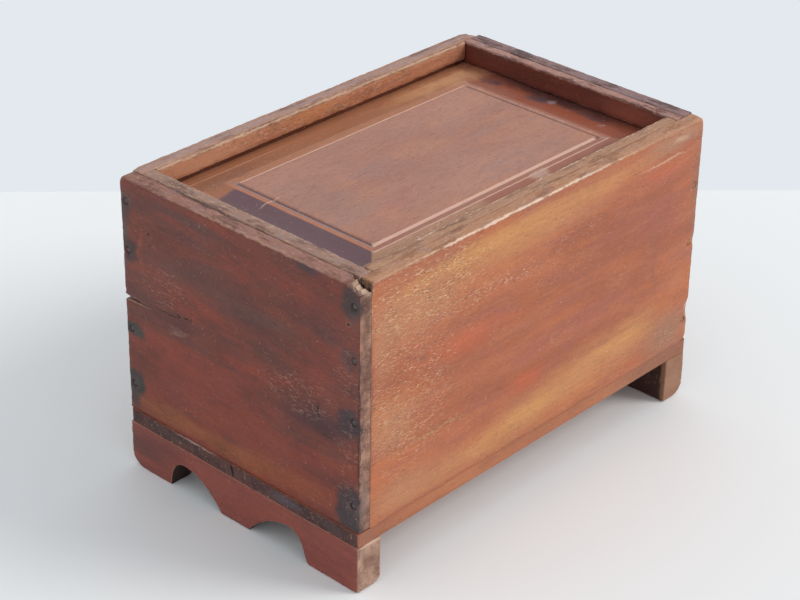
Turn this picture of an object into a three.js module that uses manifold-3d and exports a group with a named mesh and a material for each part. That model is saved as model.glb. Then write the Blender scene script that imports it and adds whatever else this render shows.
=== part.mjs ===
// Small hardwood table-top chest with a sliding, raised and fielded lid.
// Millimetres, +Z up, +X towards the end where the lid slides out, origin on the floor under the centre.
// The near end is at -X, the front long side at -Y.
import * as THREE from 'three';
import { mergeVertices } from 'three/addons/utils/BufferGeometryUtils.js';
import Module from 'manifold-3d';

const wasm = await Module();
wasm.setup();

// Walls and base
const wallLength = 286;
const wallWidth = 182;
const wallHeight = 148.6;
const wallThickness = 8.5;
const baseThickness = 8.6;
const baseOverhang = 0.7;

// Scalloped foot boards
const footHeight = 29.5;
const footThickness = 18;
const archHeight = 17.8;
const backFootWidth = 33.2;
const frontFootWidth = 40;
const pendantWidth = 22.5;
const footCornerRadius = 9;
const footToeRadius = 4;
const nearFootWear = 5;
const farFootWear = 9;

// Guide strips over the lid and runners under it
const stripHeight = 11.2;
const nearStripWidth = 9;
const frontStripWidth = 7.3;
const backStripWidth = 2.6;
const headStripWidth = 6.5;
const runnerWidth = 7.5;
const runnerHeight = 9;

// Lid panel: a raised field, a quirk and fillet round it, a cove and a thin tongue
const lidHeadroom = 2.8;
const tongueThickness = 3.4;
const fieldRise = 3.5;
const nearMargin = 43.5;
const farMargin = 39;
const frontMargin = 32.3;
const backMargin = 30;
const quirkWidth = 1.8;
const quirkDepth = 0.9;
const filletWidth = 4.8;
const filletDrop = 0.3;
const coveWidth = 14;
const coveDrop = 2.3;

// Clearances and edges
const jointGap = 0.2;
const slideGap = 0.3;
const lidSideGap = 0.5;
const lidEndGap = 1;
const arris = 0.7;
const cutOverrun = 1;

// Wear and old damage
const nearCornerWear = 4.5;
const farCornerWear = 2.6;
const backCornerWear = 4.5;
const splitWidth = 2.8;
const splitLength = 21;
const brokenLength = 12;
const brokenDepth = 5.4;
const brokenGap = 1.6;
const lostNailWidth = 1.6;
const lostNailHeight = 6;
const lostNailDepth = 6;

// Wrought nails, and the thinner brads through the head rail into the lid's edge
const wroughtNail = { shank: 0.8, length: 24, head: 1.8, height: 0.8 };
const railBrad = { shank: 0.6, length: 20, head: 1.3, height: 0.6 };
const nailSink = 0.5;
const nailClearance = 0.15;

// Places of the nails, as shares of the wall they hold
const nearBackNailShares = [0.116, 0.358, 0.695, 0.899];
const nearFrontNailShares = [0.108, 0.457, 0.705, 0.918];
const farNailShares = [0.1, 0.454, 0.709];
const baseNailShares = [-0.7, -0.24, 0.24, 0.7];
const railNailShares = [-0.5, -0.17, 0.13, 0.68];
const splitHeightShare = 0.489;
const pendantShare = 0.052;
const lostNailShare = 0.07;

// Facets
const cornerSegments = 3;
const archSegments = 9;
const coveSegments = 7;
const nailSegments = 8;

// Levels, from the floor up
const baseBottom = footHeight + jointGap;
const baseTop = baseBottom + baseThickness;
const wallBottom = baseTop + jointGap;
const rim = wallBottom + wallHeight;
const stripBottom = rim - stripHeight;
const tongueTop = stripBottom - lidHeadroom;
const lidBottom = tongueTop - tongueThickness;
const fieldTop = tongueTop + fieldRise;
const runnerTop = lidBottom - slideGap;

// Faces of the walls, from the centre out
const endX = wallLength / 2;
const endInnerX = endX - wallThickness;
const sideY = wallWidth / 2;
const sideInnerY = sideY - wallThickness;
const liningX = endInnerX - jointGap;
const liningY = sideInnerY - jointGap;
const footOuterX = endX + baseOverhang;
const footInnerX = footOuterX - footThickness;
const nearStripX = -liningX + nearStripWidth;
const headStripX = liningX - headStripWidth;

const woods = {
  end: new THREE.MeshStandardMaterial({ color: 0x70423a, roughness: 0.55, metalness: 0 }),
  side: new THREE.MeshStandardMaterial({ color: 0xb87856, roughness: 0.5, metalness: 0 }),
  base: new THREE.MeshStandardMaterial({ color: 0x8f5a48, roughness: 0.6, metalness: 0 }),
  foot: new THREE.MeshStandardMaterial({ color: 0x6e3e37, roughness: 0.6, metalness: 0 }),
  strip: new THREE.MeshStandardMaterial({ color: 0xa0705c, roughness: 0.55, metalness: 0 }),
  lid: new THREE.MeshStandardMaterial({ color: 0xaa7d6e, roughness: 0.4, metalness: 0 }),
};
const iron = new THREE.MeshStandardMaterial({ color: 0x3a3532, roughness: 0.75, metalness: 0.8 });

const chest = new THREE.Group();

// A closed geometry as a solid, for cutting
function solidOf(geometry) {
  const bare = geometry.clone();
  bare.deleteAttribute('normal');
  bare.deleteAttribute('uv');
  const merged = mergeVertices(bare);
  const vertProperties = new Float32Array(merged.attributes.position.array);
  const triVerts = new Uint32Array(merged.index.array);
  return new wasm.Manifold(new wasm.Mesh({ numProp: 3, vertProperties, triVerts }));
}

// A solid back as a flat-shaded geometry
function geometryOf(solid) {
  const mesh = solid.getMesh();
  const geometry = new THREE.BufferGeometry();
  geometry.setAttribute('position', new THREE.BufferAttribute(mesh.vertProperties, mesh.numProp));
  geometry.setIndex(new THREE.BufferAttribute(mesh.triVerts, 1));
  const flat = geometry.toNonIndexed();
  flat.computeVertexNormals();
  return flat;
}

function cut(geometry, cutters) {
  if (cutters.length === 0) return geometry;
  let solid = solidOf(geometry);
  for (const cutter of cutters) solid = solid.subtract(solidOf(cutter));
  return geometryOf(solid);
}

function addPiece(name, geometry, material, place = new THREE.Vector3()) {
  const mesh = new THREE.Mesh(geometry, material);
  mesh.name = name;
  mesh.position.copy(place);
  chest.add(mesh);
}

// A rectangle about the centre with its own radius at each corner:
// low left, low right, high right, high left
function plankOutline(width, height, radii) {
  const shape = new THREE.Shape();
  const corners = [[-1, -1], [1, -1], [1, 1], [-1, 1]];
  corners.forEach(([sideways, upward], index) => {
    const radius = radii[index];
    const turn = Math.PI + (index * Math.PI) / 2;
    const x = sideways * (width / 2 - radius);
    const y = upward * (height / 2 - radius);
    shape.absarc(x, y, radius, turn, turn + Math.PI / 2, false);
  });
  return shape;
}

// Which way a plank's outline is turned: its outline lies across the named axis
const turns = {
  x: new THREE.Matrix4().makeBasis(
    new THREE.Vector3(0, 1, 0), new THREE.Vector3(0, 0, 1), new THREE.Vector3(1, 0, 0)),
  y: new THREE.Matrix4().makeBasis(
    new THREE.Vector3(1, 0, 0), new THREE.Vector3(0, 0, 1), new THREE.Vector3(0, -1, 0)),
  z: new THREE.Matrix4(),
};

// An outline made into a board of a given thickness with softened edges, about its middle
function extrudeBoard(outline, thickness, across, edge = arris) {
  const geometry = new THREE.ExtrudeGeometry(outline, {
    depth: thickness - 2 * edge,
    curveSegments: cornerSegments,
    bevelThickness: edge,
    bevelSize: edge,
    bevelOffset: -edge,
    bevelSegments: 1,
  });
  geometry.translate(0, 0, edge - thickness / 2);
  geometry.applyMatrix4(turns[across]);
  return geometry;
}

// A board between two corners of its box. Cutters and nails are given in the chest's frame.
function addBoard(name, low, high, across, material, { radii = {}, cutters = [], nails = [], edge = arris } = {}) {
  const size = high.clone().sub(low);
  const middle = low.clone().add(high).multiplyScalar(0.5);
  const spans = { x: [size.y, size.z, size.x], y: [size.x, size.z, size.y], z: [size.x, size.y, size.z] };
  const [width, height, thickness] = spans[across];
  const soft = edge * 1.5;
  const corners = ['lowLeft', 'lowRight', 'highRight', 'highLeft'].map((corner) => radii[corner] ?? soft);
  const geometry = extrudeBoard(plankOutline(width, height, corners), thickness, across, edge);
  geometry.translate(middle.x, middle.y, middle.z);
  const shaped = cut(geometry, [...cutters, ...nails.map(nailHole)]);
  shaped.translate(-middle.x, -middle.y, -middle.z);
  addPiece(name, shaped, material, middle);
}

// A prism from a list of points in the plane across an axis, between two places on that axis
function prism(points, from, to, across) {
  const outline = new THREE.Shape(points.map(([x, y]) => new THREE.Vector2(x, y)));
  const geometry = new THREE.ExtrudeGeometry(outline, { depth: to - from, bevelEnabled: false });
  geometry.translate(0, 0, across === 'y' ? -to : from);
  geometry.applyMatrix4(turns[across]);
  return geometry;
}

// Nails
// A nail is its kind, a place on a board's face and the direction it was driven in.
// Its profile runs from the tip to the top of the head, below the board's face.
function nailProfile({ shank, length, head, height }) {
  return [
    [0, -length],
    [shank / 2, -length],
    [shank, -length * 0.7],
    [shank, -height],
    [head, -height],
    [head, -height / 2],
    [head / 2, 0],
    [0, 0],
  ];
}

// The hole that a nail sits in, open to the board's face
function holeProfile({ shank, length, head, height }) {
  const grow = nailClearance;
  return [
    [0, -length - grow],
    [shank / 2 + grow, -length - grow],
    [shank + grow, -length * 0.7],
    [shank + grow, -height - grow],
    [head + grow, -height - grow],
    [head + grow, nailSink + cutOverrun],
    [0, nailSink + cutOverrun],
  ];
}

function driven(profile, { point, direction }) {
  const points = profile.map(([x, y]) => new THREE.Vector2(x, y - nailSink));
  const geometry = new THREE.LatheGeometry(points, nailSegments);
  const down = new THREE.Vector3(0, -1, 0);
  geometry.applyQuaternion(new THREE.Quaternion().setFromUnitVectors(down, direction));
  geometry.translate(point.x, point.y, point.z);
  return geometry;
}

const nailHole = (nail) => driven(holeProfile(nail.kind), nail);

function addNails(name, nails) {
  nails.forEach((nail, index) => {
    const geometry = driven(nailProfile(nail.kind), nail);
    geometry.translate(-nail.point.x, -nail.point.y, -nail.point.z);
    addPiece(`${name}_${index + 1}`, geometry, iron, nail.point);
  });
}

const axisX = new THREE.Vector3(1, 0, 0);
const axisY = new THREE.Vector3(0, 1, 0);
const axisZ = new THREE.Vector3(0, 0, 1);
const sideMidY = sideY - wallThickness / 2;
const endMidX = endX - wallThickness / 2;

const wallNails = (shares, x, y, direction) => shares.map((share) => ({
  kind: wroughtNail,
  point: new THREE.Vector3(x, y, wallBottom + share * wallHeight),
  direction,
}));
const nearBackNails = wallNails(nearBackNailShares, -endX, sideMidY, axisX);
const nearFrontNails = wallNails(nearFrontNailShares, -endX, -sideMidY, axisX);
const farBackNails = wallNails(farNailShares, endMidX, sideY, axisY.clone().negate());
const farFrontNails = wallNails(farNailShares, endMidX, -sideY, axisY);

const baseNails = (side) => baseNailShares.map((share) => ({
  kind: wroughtNail,
  point: new THREE.Vector3(share * footInnerX, side * sideMidY, baseBottom),
  direction: axisZ,
}));
const baseFrontNails = baseNails(-1);
const baseBackNails = baseNails(1);

const railNails = railNailShares.map((share) => ({
  kind: railBrad,
  point: new THREE.Vector3(endX, share * liningY, lidBottom + tongueThickness / 2),
  direction: axisX.clone().negate(),
}));

// Middles of the back foot, the pendant and the front foot, where wood is tall enough for a nail
const pendantY = pendantShare * sideY;
const backFootEdge = sideY - backFootWidth;
const frontFootEdge = frontFootWidth - sideY;
const footNailY = [(liningY + backFootEdge) / 2, pendantY, (frontFootEdge - liningY) / 2];
const footNails = (end) => footNailY.map((y) => ({
  kind: wroughtNail,
  point: new THREE.Vector3(end * (footInnerX + liningX) / 2, y, baseTop),
  direction: axisZ.clone().negate(),
}));
const nearFootNails = footNails(-1);
const farFootNails = footNails(1);

// Foot boards
// One arch, as two curves: it springs steeply from the foot to its crown and falls in a full sweep to
// the pendant. Each curve is two handles and an end, as shares of the span and of the arch's height.
const archRise = [[0.02, 0.45], [0.08, 1], [0.28, 1]];
const archFall = [[0.55, 1], [0.8, 0.62], [1, 0]];

function archPoint(foot, tip, [across, up]) {
  return [foot + across * (tip - foot), up * archHeight];
}

function archFromFoot(shape, foot, tip) {
  for (const curve of [archRise, archFall]) {
    shape.bezierCurveTo(...curve.flatMap((point) => archPoint(foot, tip, point)));
  }
}

function archToFoot(shape, tip, foot) {
  const [firstFall, secondFall] = archFall;
  const [firstRise, secondRise, crown] = archRise;
  for (const curve of [[secondFall, firstFall, crown], [secondRise, firstRise, [0, 0]]]) {
    shape.bezierCurveTo(...curve.flatMap((point) => archPoint(foot, tip, point)));
  }
}

function footOutline() {
  const shape = new THREE.Shape();
  const pendantHalf = pendantWidth / 2;
  const toeY = frontFootEdge - footToeRadius;
  const heelY = sideY - footCornerRadius;
  shape.moveTo(-sideY, 0);
  shape.lineTo(toeY, 0);
  shape.absarc(toeY, footToeRadius, footToeRadius, -Math.PI / 2, -Math.PI / 9, false);
  archFromFoot(shape, frontFootEdge, pendantY - pendantHalf);
  shape.lineTo(pendantY + pendantHalf, 0);
  archToFoot(shape, pendantY + pendantHalf, backFootEdge);
  shape.lineTo(heelY, 0);
  shape.absarc(heelY, footCornerRadius, footCornerRadius, -Math.PI / 2, 0, false);
  shape.lineTo(sideY, footHeight);
  shape.lineTo(-sideY, footHeight);
  shape.closePath();
  return shape;
}

// What wear has rounded off a foot board's lower edge, on its face that looks away from the near end
function toeCutter(faceX, radius) {
  const outline = new THREE.Shape();
  const outer = radius + cutOverrun;
  outline.moveTo(0, 0);
  outline.absarc(0, radius, radius, -Math.PI / 2, 0, false);
  outline.lineTo(outer, radius);
  outline.lineTo(outer, -cutOverrun);
  outline.lineTo(0, -cutOverrun);
  outline.closePath();
  const depth = wallWidth + 2 * cutOverrun;
  const geometry = new THREE.ExtrudeGeometry(outline, { depth, bevelEnabled: false, curveSegments: archSegments });
  geometry.translate(0, 0, -depth / 2);
  geometry.applyMatrix4(turns.y);
  geometry.translate(faceX - radius, 0, 0);
  return geometry;
}

function addFootBoard(name, end, nails, cutters) {
  const place = new THREE.Vector3(end * (footOuterX - footThickness / 2), 0, 0);
  const geometry = new THREE.ExtrudeGeometry(footOutline(), {
    depth: footThickness,
    bevelEnabled: false,
    curveSegments: archSegments,
  });
  geometry.translate(0, 0, -footThickness / 2);
  geometry.applyMatrix4(turns.x);
  geometry.translate(place.x, 0, 0);
  const shaped = cut(geometry, [...cutters, ...nails.map(nailHole)]);
  shaped.translate(-place.x, 0, 0);
  addPiece(name, shaped, woods.foot, place);
}

addFootBoard('near_foot_board', -1, nearFootNails, [toeCutter(-footInnerX, nearFootWear)]);
addFootBoard('far_foot_board', 1, farFootNails, [toeCutter(footOuterX, farFootWear)]);

// Base board, with the hole that a lost nail left in its near edge
const lostNailY = lostNailShare * sideY;
const lostNailZ = (baseBottom + baseTop) / 2;
const lostNailHole = new THREE.BoxGeometry(2 * lostNailDepth, lostNailWidth, lostNailHeight);
lostNailHole.translate(-footOuterX, lostNailY, lostNailZ);

addBoard(
  'base_board',
  new THREE.Vector3(-footOuterX, -sideY, baseBottom),
  new THREE.Vector3(footOuterX, sideY, baseTop),
  'z',
  woods.base,
  {
    cutters: [lostNailHole],
    nails: [...baseFrontNails, ...baseBackNails, ...nearFootNails, ...farFootNails],
  },
);

// Long side boards, butted against the near end board and running out past the far end board
const sideStartX = -endInnerX + jointGap;
const brokenSide = prism([
  [sideStartX - cutOverrun, rim + cutOverrun],
  [sideStartX - cutOverrun, rim - 2 * brokenDepth],
  [sideStartX + brokenGap, rim - brokenDepth],
  [sideStartX + brokenGap, rim + cutOverrun],
], -sideY - cutOverrun, -liningY, 'y');

addBoard(
  'front_side_board',
  new THREE.Vector3(sideStartX, -sideY, wallBottom),
  new THREE.Vector3(endX, -sideInnerY, rim),
  'y',
  woods.side,
  {
    radii: { highRight: farCornerWear },
    cutters: [brokenSide],
    nails: [...nearFrontNails, ...farFrontNails, ...baseFrontNails],
  },
);
addBoard(
  'back_side_board',
  new THREE.Vector3(sideStartX, sideInnerY, wallBottom),
  new THREE.Vector3(endX, sideY, rim),
  'y',
  woods.side,
  {
    radii: { highRight: backCornerWear },
    nails: [...nearBackNails, ...farBackNails, ...baseBackNails],
  },
);

// Near end board, nailed over the ends of the side boards: a split runs in from its back edge,
// and its top is broken away at the front corner
const splitZ = wallBottom + splitHeightShare * wallHeight;
const split = prism([
  [sideY + cutOverrun, splitZ - splitWidth / 2],
  [sideY + cutOverrun, splitZ + splitWidth / 2],
  [sideY - splitLength, splitZ],
], -endX - cutOverrun, -endInnerX + cutOverrun, 'x');
const brokenCorner = prism([
  [-sideY - cutOverrun, rim - brokenDepth],
  [-sideY + brokenLength / 2, rim - brokenDepth / 2],
  [-sideY + brokenLength, rim + cutOverrun],
  [-sideY - cutOverrun, rim + cutOverrun],
], -endX - cutOverrun, -endInnerX + cutOverrun, 'x');

addBoard(
  'near_end_board',
  new THREE.Vector3(-endX, -sideY, wallBottom),
  new THREE.Vector3(-endInnerX, sideY, rim),
  'x',
  woods.end,
  {
    radii: { highRight: nearCornerWear },
    cutters: [split, brokenCorner],
    nails: [...nearBackNails, ...nearFrontNails],
  },
);

// Far end board, between the side boards and low enough for the lid to slide over it
addBoard(
  'far_end_board',
  new THREE.Vector3(endInnerX, -liningY, wallBottom),
  new THREE.Vector3(endX, liningY, runnerTop),
  'x',
  woods.end,
  { nails: [...farBackNails, ...farFrontNails] },
);

// Guide strips above the lid's tongue
addBoard(
  'near_guide_strip',
  new THREE.Vector3(-liningX, -liningY, stripBottom),
  new THREE.Vector3(nearStripX, liningY, rim),
  'x',
  woods.strip,
);
addBoard(
  'front_guide_strip',
  new THREE.Vector3(nearStripX + jointGap, -liningY, stripBottom),
  new THREE.Vector3(headStripX - slideGap, -liningY + frontStripWidth, rim),
  'y',
  woods.strip,
);
addBoard(
  'back_guide_strip',
  new THREE.Vector3(nearStripX + jointGap, liningY - backStripWidth, stripBottom),
  new THREE.Vector3(headStripX - slideGap, liningY, rim),
  'y',
  woods.strip,
);

// Runners under the lid's tongue
const runnerBottom = runnerTop - runnerHeight;
addBoard(
  'near_lid_runner',
  new THREE.Vector3(-liningX, -liningY, runnerBottom),
  new THREE.Vector3(-liningX + runnerWidth, liningY, runnerTop),
  'x',
  woods.strip,
);
for (const [name, side] of [['front_lid_runner', -1], ['back_lid_runner', 1]]) {
  const middleY = side * (liningY - runnerWidth / 2);
  addBoard(
    name,
    new THREE.Vector3(-liningX + runnerWidth + jointGap, middleY - runnerWidth / 2, runnerBottom),
    new THREE.Vector3(liningX, middleY + runnerWidth / 2, runnerTop),
    'y',
    woods.strip,
  );
}

// Lid panel
const panelLowX = -endInnerX + lidEndGap;
const panelHighX = endInnerX - jointGap;
const panelHalfY = sideInnerY - lidSideGap;
const field = {
  lowX: panelLowX + nearMargin,
  highX: panelHighX - farMargin,
  lowY: -panelHalfY + frontMargin,
  highY: panelHalfY - backMargin,
};

// A level rectangle that lies a distance out from the field's edge
function levelRound(out, z) {
  const { lowX, highX, lowY, highY } = field;
  return [
    [lowX - out, lowY - out, z],
    [highX + out, lowY - out, z],
    [highX + out, highY + out, z],
    [lowX - out, highY + out, z],
  ];
}

function levelPanel(inset, z) {
  return [
    [panelLowX + inset, -panelHalfY + inset, z],
    [panelHighX - inset, -panelHalfY + inset, z],
    [panelHighX - inset, panelHalfY - inset, z],
    [panelLowX + inset, panelHalfY - inset, z],
  ];
}

// The panel's levels from its underside to the top of the field, mitred at the corners
function lidLevels() {
  const filletOut = quirkWidth + filletWidth;
  const edge = tongueThickness / 5;
  const levels = [
    levelPanel(edge, lidBottom),
    levelPanel(0, lidBottom + edge),
    levelPanel(0, tongueTop - edge),
    levelPanel(edge, tongueTop),
    levelRound(filletOut + coveWidth, tongueTop),
  ];
  for (let step = 0; step <= coveSegments; step += 1) {
    const share = 1 - step / coveSegments;
    const drop = filletDrop + coveDrop * Math.sin((share * Math.PI) / 2);
    levels.push(levelRound(filletOut + coveWidth * share, fieldTop - drop));
  }
  levels.push(levelRound(quirkWidth, fieldTop - filletDrop));
  levels.push(levelRound(quirkWidth * 0.7, fieldTop - quirkDepth));
  levels.push(levelRound(quirkWidth * 0.3, fieldTop - quirkDepth));
  levels.push(levelRound(0, fieldTop));
  return levels;
}

// Rectangles joined one to the next into a closed body
function loft(levels) {
  const positions = levels.flat(2);
  const triangles = [];
  for (let level = 0; level + 1 < levels.length; level += 1) {
    for (let corner = 0; corner < 4; corner += 1) {
      const next = (corner + 1) % 4;
      const a = level * 4 + corner;
      const b = level * 4 + next;
      const c = b + 4;
      const d = a + 4;
      triangles.push(a, b, c, a, c, d);
    }
  }
  const top = (levels.length - 1) * 4;
  triangles.push(0, 2, 1, 0, 3, 2);
  triangles.push(top, top + 1, top + 2, top, top + 2, top + 3);
  const geometry = new THREE.BufferGeometry();
  geometry.setAttribute('position', new THREE.Float32BufferAttribute(positions, 3));
  geometry.setAttribute('normal', new THREE.Float32BufferAttribute(new Float32Array(positions.length), 3));
  geometry.setAttribute('uv', new THREE.Float32BufferAttribute(new Float32Array(positions.length), 3));
  geometry.setIndex(triangles);
  return geometry;
}

addPiece('lid_panel', cut(loft(lidLevels()), railNails.map(nailHole)), woods.lid);

// The head rail and head strip stand on the lid's far end, close the rim and slide out with it
const headHalfY = sideInnerY - slideGap;
addBoard(
  'lid_head_rail',
  new THREE.Vector3(endInnerX, -headHalfY, lidBottom),
  new THREE.Vector3(endX, headHalfY, rim),
  'x',
  woods.end,
  { nails: railNails },
);
addBoard(
  'lid_head_strip',
  new THREE.Vector3(headStripX, -headHalfY, tongueTop + jointGap),
  new THREE.Vector3(liningX, headHalfY, rim),
  'x',
  woods.strip,
);

addNails('near_end_nail_back', nearBackNails);
addNails('near_end_nail_front', nearFrontNails);
addNails('far_end_nail_back', farBackNails);
addNails('far_end_nail_front', farFrontNails);
addNails('base_nail_front', baseFrontNails);
addNails('base_nail_back', baseBackNails);
addNails('near_foot_nail', nearFootNails);
addNails('far_foot_nail', farFootNails);
addNails('head_rail_nail', railNails);

export default chest;
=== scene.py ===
"""Looks for a small hardwood chest with a sliding, fielded lid.

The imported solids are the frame. Each board is rebuilt here as a finer, hand-worn piece in the same place,
in aged wood whose grain, stains and wear are procedural. The shape code works in millimetres in the
frame's axes: +X towards the end where the lid slides out, -Y the front long side, +Z up, floor at zero.
"""

import math

import bmesh
import bpy
import numpy as np
from mathutils import Matrix, Vector, geometry, noise


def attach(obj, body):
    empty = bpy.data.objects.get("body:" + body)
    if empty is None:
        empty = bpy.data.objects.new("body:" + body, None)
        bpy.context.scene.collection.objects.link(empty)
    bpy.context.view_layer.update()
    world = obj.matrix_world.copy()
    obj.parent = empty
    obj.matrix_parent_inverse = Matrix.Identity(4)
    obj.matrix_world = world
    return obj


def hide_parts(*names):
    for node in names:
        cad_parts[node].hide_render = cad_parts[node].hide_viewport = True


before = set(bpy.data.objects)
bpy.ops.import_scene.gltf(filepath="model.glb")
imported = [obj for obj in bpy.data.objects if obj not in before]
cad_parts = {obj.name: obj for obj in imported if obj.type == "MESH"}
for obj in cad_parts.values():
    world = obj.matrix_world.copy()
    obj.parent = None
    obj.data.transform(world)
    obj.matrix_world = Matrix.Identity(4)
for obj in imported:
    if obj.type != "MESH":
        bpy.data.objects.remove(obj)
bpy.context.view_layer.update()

MM = 0.001
X, Y, Z = 0, 1, 2

# Sizes, as in the solids
FOOT_TOP = 29.5
BASE_LOW, BASE_HIGH = 29.7, 38.3
WALL_LOW, RIM = 38.5, 187.1
RUNNER_LOW, RUNNER_HIGH = 160.4, 169.4
LID_LOW, TONGUE_TOP, FIELD_TOP = 169.7, 173.1, 176.6
STRIP_LOW = 175.9
END_X, END_INNER_X, LINING_X = 143.0, 134.5, 134.3
SIDE_Y, SIDE_INNER_Y, LINING_Y = 91.0, 82.5, 82.3
FOOT_OUTER_X, FOOT_INNER_X = 143.7, 125.7
NEAR_STRIP_X, HEAD_STRIP_X = -125.3, 127.8
FRONT_STRIP_WIDTH, BACK_STRIP_WIDTH = 7.3, 2.6
HEAD_HALF_Y = 82.2
PANEL_LOW_X, PANEL_HIGH_X, PANEL_HALF_Y = -133.5, 134.3, 82.0
FIELD_LOW_X, FIELD_HIGH_X, FIELD_LOW_Y, FIELD_HIGH_Y = -90.0, 95.3, -49.7, 52.0
ARCH_HEIGHT = 17.8
PENDANT_LOW_Y, PENDANT_HIGH_Y = -6.5, 16.0
FRONT_FOOT_EDGE, BACK_FOOT_EDGE = -51.0, 57.8
JOINT_GAP, SLIDE_GAP = 0.2, 0.3
RUNNER_WIDTH = 7.5
BREAK_Y = -78.5

# Where the nails' heads lie
SIDE_MID_Y, END_MID_X = 86.75, 138.75
NEAR_BACK_NAIL_Z = (55.7, 91.7, 141.8, 172.1)
NEAR_FRONT_NAIL_Z = (54.5, 106.4, 143.3, 174.9)
FAR_NAIL_Z = (53.4, 106.0, 143.9)
BASE_NAIL_X = (-88.0, -30.2, 30.2, 88.0)
FOOT_NAIL_X, FOOT_NAIL_Y = 130.0, (70.1, 4.7, -66.7)
RAIL_NAIL_Y, RAIL_NAIL_Z = (-41.1, -14.0, 10.7, 56.0), 171.4
HEAD_POCKET, BRAD_POCKET = 1.86, 1.4
POCKET_DEPTH, POCKET_SLOPE = 1.45, 0.85

# How the skins are made: angles in degrees, lengths in millimetres, the rest shares
MITRE_LIMIT = 0.7
FOLD_LIMIT, FOLD_TRIES, FOLD_SHRINK = 0.08, 40, 0.8
POCKET_POINTS, POCKET_REACH, POCKET_RAGGED, POCKET_WEAR = 12, 1.3, 0.25, 0.3
ROW_RATIO, GRID_JITTER, GRID_CLEARANCE = 0.87, 0.25, 0.55
BROAD_RIPPLE, FINE_RIPPLE, BROAD_SHARE = 34, 7, 0.65
NICK_SIZE, NICK_DEPTH, NICK_FLOOR, NICK_WEAR = 2.6, 1.2, 0.45, 0.3
DENT_GRAIN, DENT_LEAST, DENT_SWING, DENT_WEAR = 3.1, 0.55, 0.9, 1.2
SHARP_ANGLE = 48
ARC, ARC_WEAR = (0, 32, 62, 90), (0.45, 1.0, 1.0, 0.55)
WEAR_SIZE, CHIP_SIZE, CHIP_FLOOR, CHIP_GAIN, LEAST_EDGE = 13, 3.3, 0.66, 3.2, 0.45
CRISP_EDGE, CRISP_WEAR, FACE_WEAR, RING_SPACING, TOE_REACH = 0.15, 0.1, 0.12, 3, 1.3


def put(name, data):
    """Adds an object to the scene."""
    thing = bpy.data.objects.new(name, data)
    bpy.context.scene.collection.objects.link(thing)
    return thing


def srgb(red, green, blue):
    """A colour as it is seen, 0 to 255, as the shader's linear colour."""
    def linear(value):
        value /= 255
        return value / 12.92 if value <= 0.04045 else ((value + 0.055) / 1.055) ** 2.4
    return linear(red), linear(green), linear(blue), 1.0


def soft_noise(points, size, seed):
    """Noise from 0 to 1 at each point, with features about one size long."""
    shift = Vector((17.3 * seed, -9.1 * seed, 5.7 * seed))
    return np.array([0.5 + 0.5 * noise.noise(Vector(point) / size + shift) for point in points])


# Outlines
def rounded(corners, turn_step=30):
    """A closed outline through corners (a, b, radius), each turned as an arc."""
    points = []
    for index, (a, b, radius) in enumerate(corners):
        corner = np.array((a, b), float)
        if radius == 0:
            points.append(corner)
            continue
        back = np.array(corners[index - 1][:2], float) - corner
        ahead = np.array(corners[(index + 1) % len(corners)][:2], float) - corner
        back /= np.linalg.norm(back)
        ahead /= np.linalg.norm(ahead)
        half = math.acos(np.clip(back @ ahead, -1, 1)) / 2
        centre = corner + (back + ahead) / np.linalg.norm(back + ahead) * radius / math.sin(half)
        start = corner + back * radius / math.tan(half) - centre
        end = corner + ahead * radius / math.tan(half) - centre
        first = math.atan2(start[1], start[0])
        sweep = (math.atan2(end[1], end[0]) - first + math.pi) % (2 * math.pi) - math.pi
        steps = max(2, round(abs(math.degrees(sweep)) / turn_step))
        for step in range(steps + 1):
            angle = first + sweep * step / steps
            points.append(centre + radius * np.array((math.cos(angle), math.sin(angle))))
    return np.array(points)


def bezier(start, first, second, end, steps=12):
    """Points along a cubic curve."""
    start, first, second, end = (np.array(point, float) for point in (start, first, second, end))
    share = np.linspace(0, 1, steps + 1)[:, None]
    rest = 1 - share
    return rest**3 * start + 3 * rest**2 * share * first + 3 * rest * share**2 * second + share**3 * end


def divided(loop, step):
    """The same closed outline with no two points further apart than a step."""
    points = []
    for start, end in zip(loop, np.roll(loop, -1, axis=0)):
        count = max(1, math.ceil(np.linalg.norm(end - start) / step))
        points += [start + (end - start) * k / count for k in range(count)]
    return np.array(points)


def outward_of(loop):
    """At each point of a counter-clockwise outline, the direction that leads out of it, mitred."""
    edge = np.roll(loop, -1, axis=0) - loop
    edge /= np.linalg.norm(edge, axis=1)[:, None]
    normal = np.stack([edge[:, 1], -edge[:, 0]], axis=1)
    total = normal + np.roll(normal, 1, axis=0)
    total /= np.linalg.norm(total, axis=1)[:, None]
    cosine = (total * normal).sum(axis=1)
    return total, 1 / np.clip(cosine, MITRE_LIMIT, 1)


def fitted_radius(loop, outward, radius):
    """The edge radius at each point, made smaller where the inset outline would fold over itself."""
    radius = radius.copy()
    edge = np.roll(loop, -1, axis=0) - loop
    for _ in range(FOLD_TRIES):
        inner = loop - outward * radius[:, None]
        inner_edge = np.roll(inner, -1, axis=0) - inner
        folded = (edge * inner_edge).sum(axis=1) < FOLD_LIMIT * (edge * edge).sum(axis=1)
        if not folded.any():
            break
        radius[folded | np.roll(folded, 1)] *= FOLD_SHRINK
    return radius


def inside(points, loop):
    """Tells for each point whether a closed outline goes round it."""
    across, up = points[:, 0:1], points[:, 1:2]
    ahead = np.roll(loop, -1, axis=0)
    rise = ahead[:, 1] - loop[:, 1]
    rise = np.where(rise == 0, 1e-12, rise)
    crossing = loop[:, 0] + (up - loop[:, 1]) * (ahead[:, 0] - loop[:, 0]) / rise
    spans = (loop[:, 1] > up) != (ahead[:, 1] > up)
    return (spans & (across < crossing)).sum(axis=1) % 2 == 1


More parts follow.
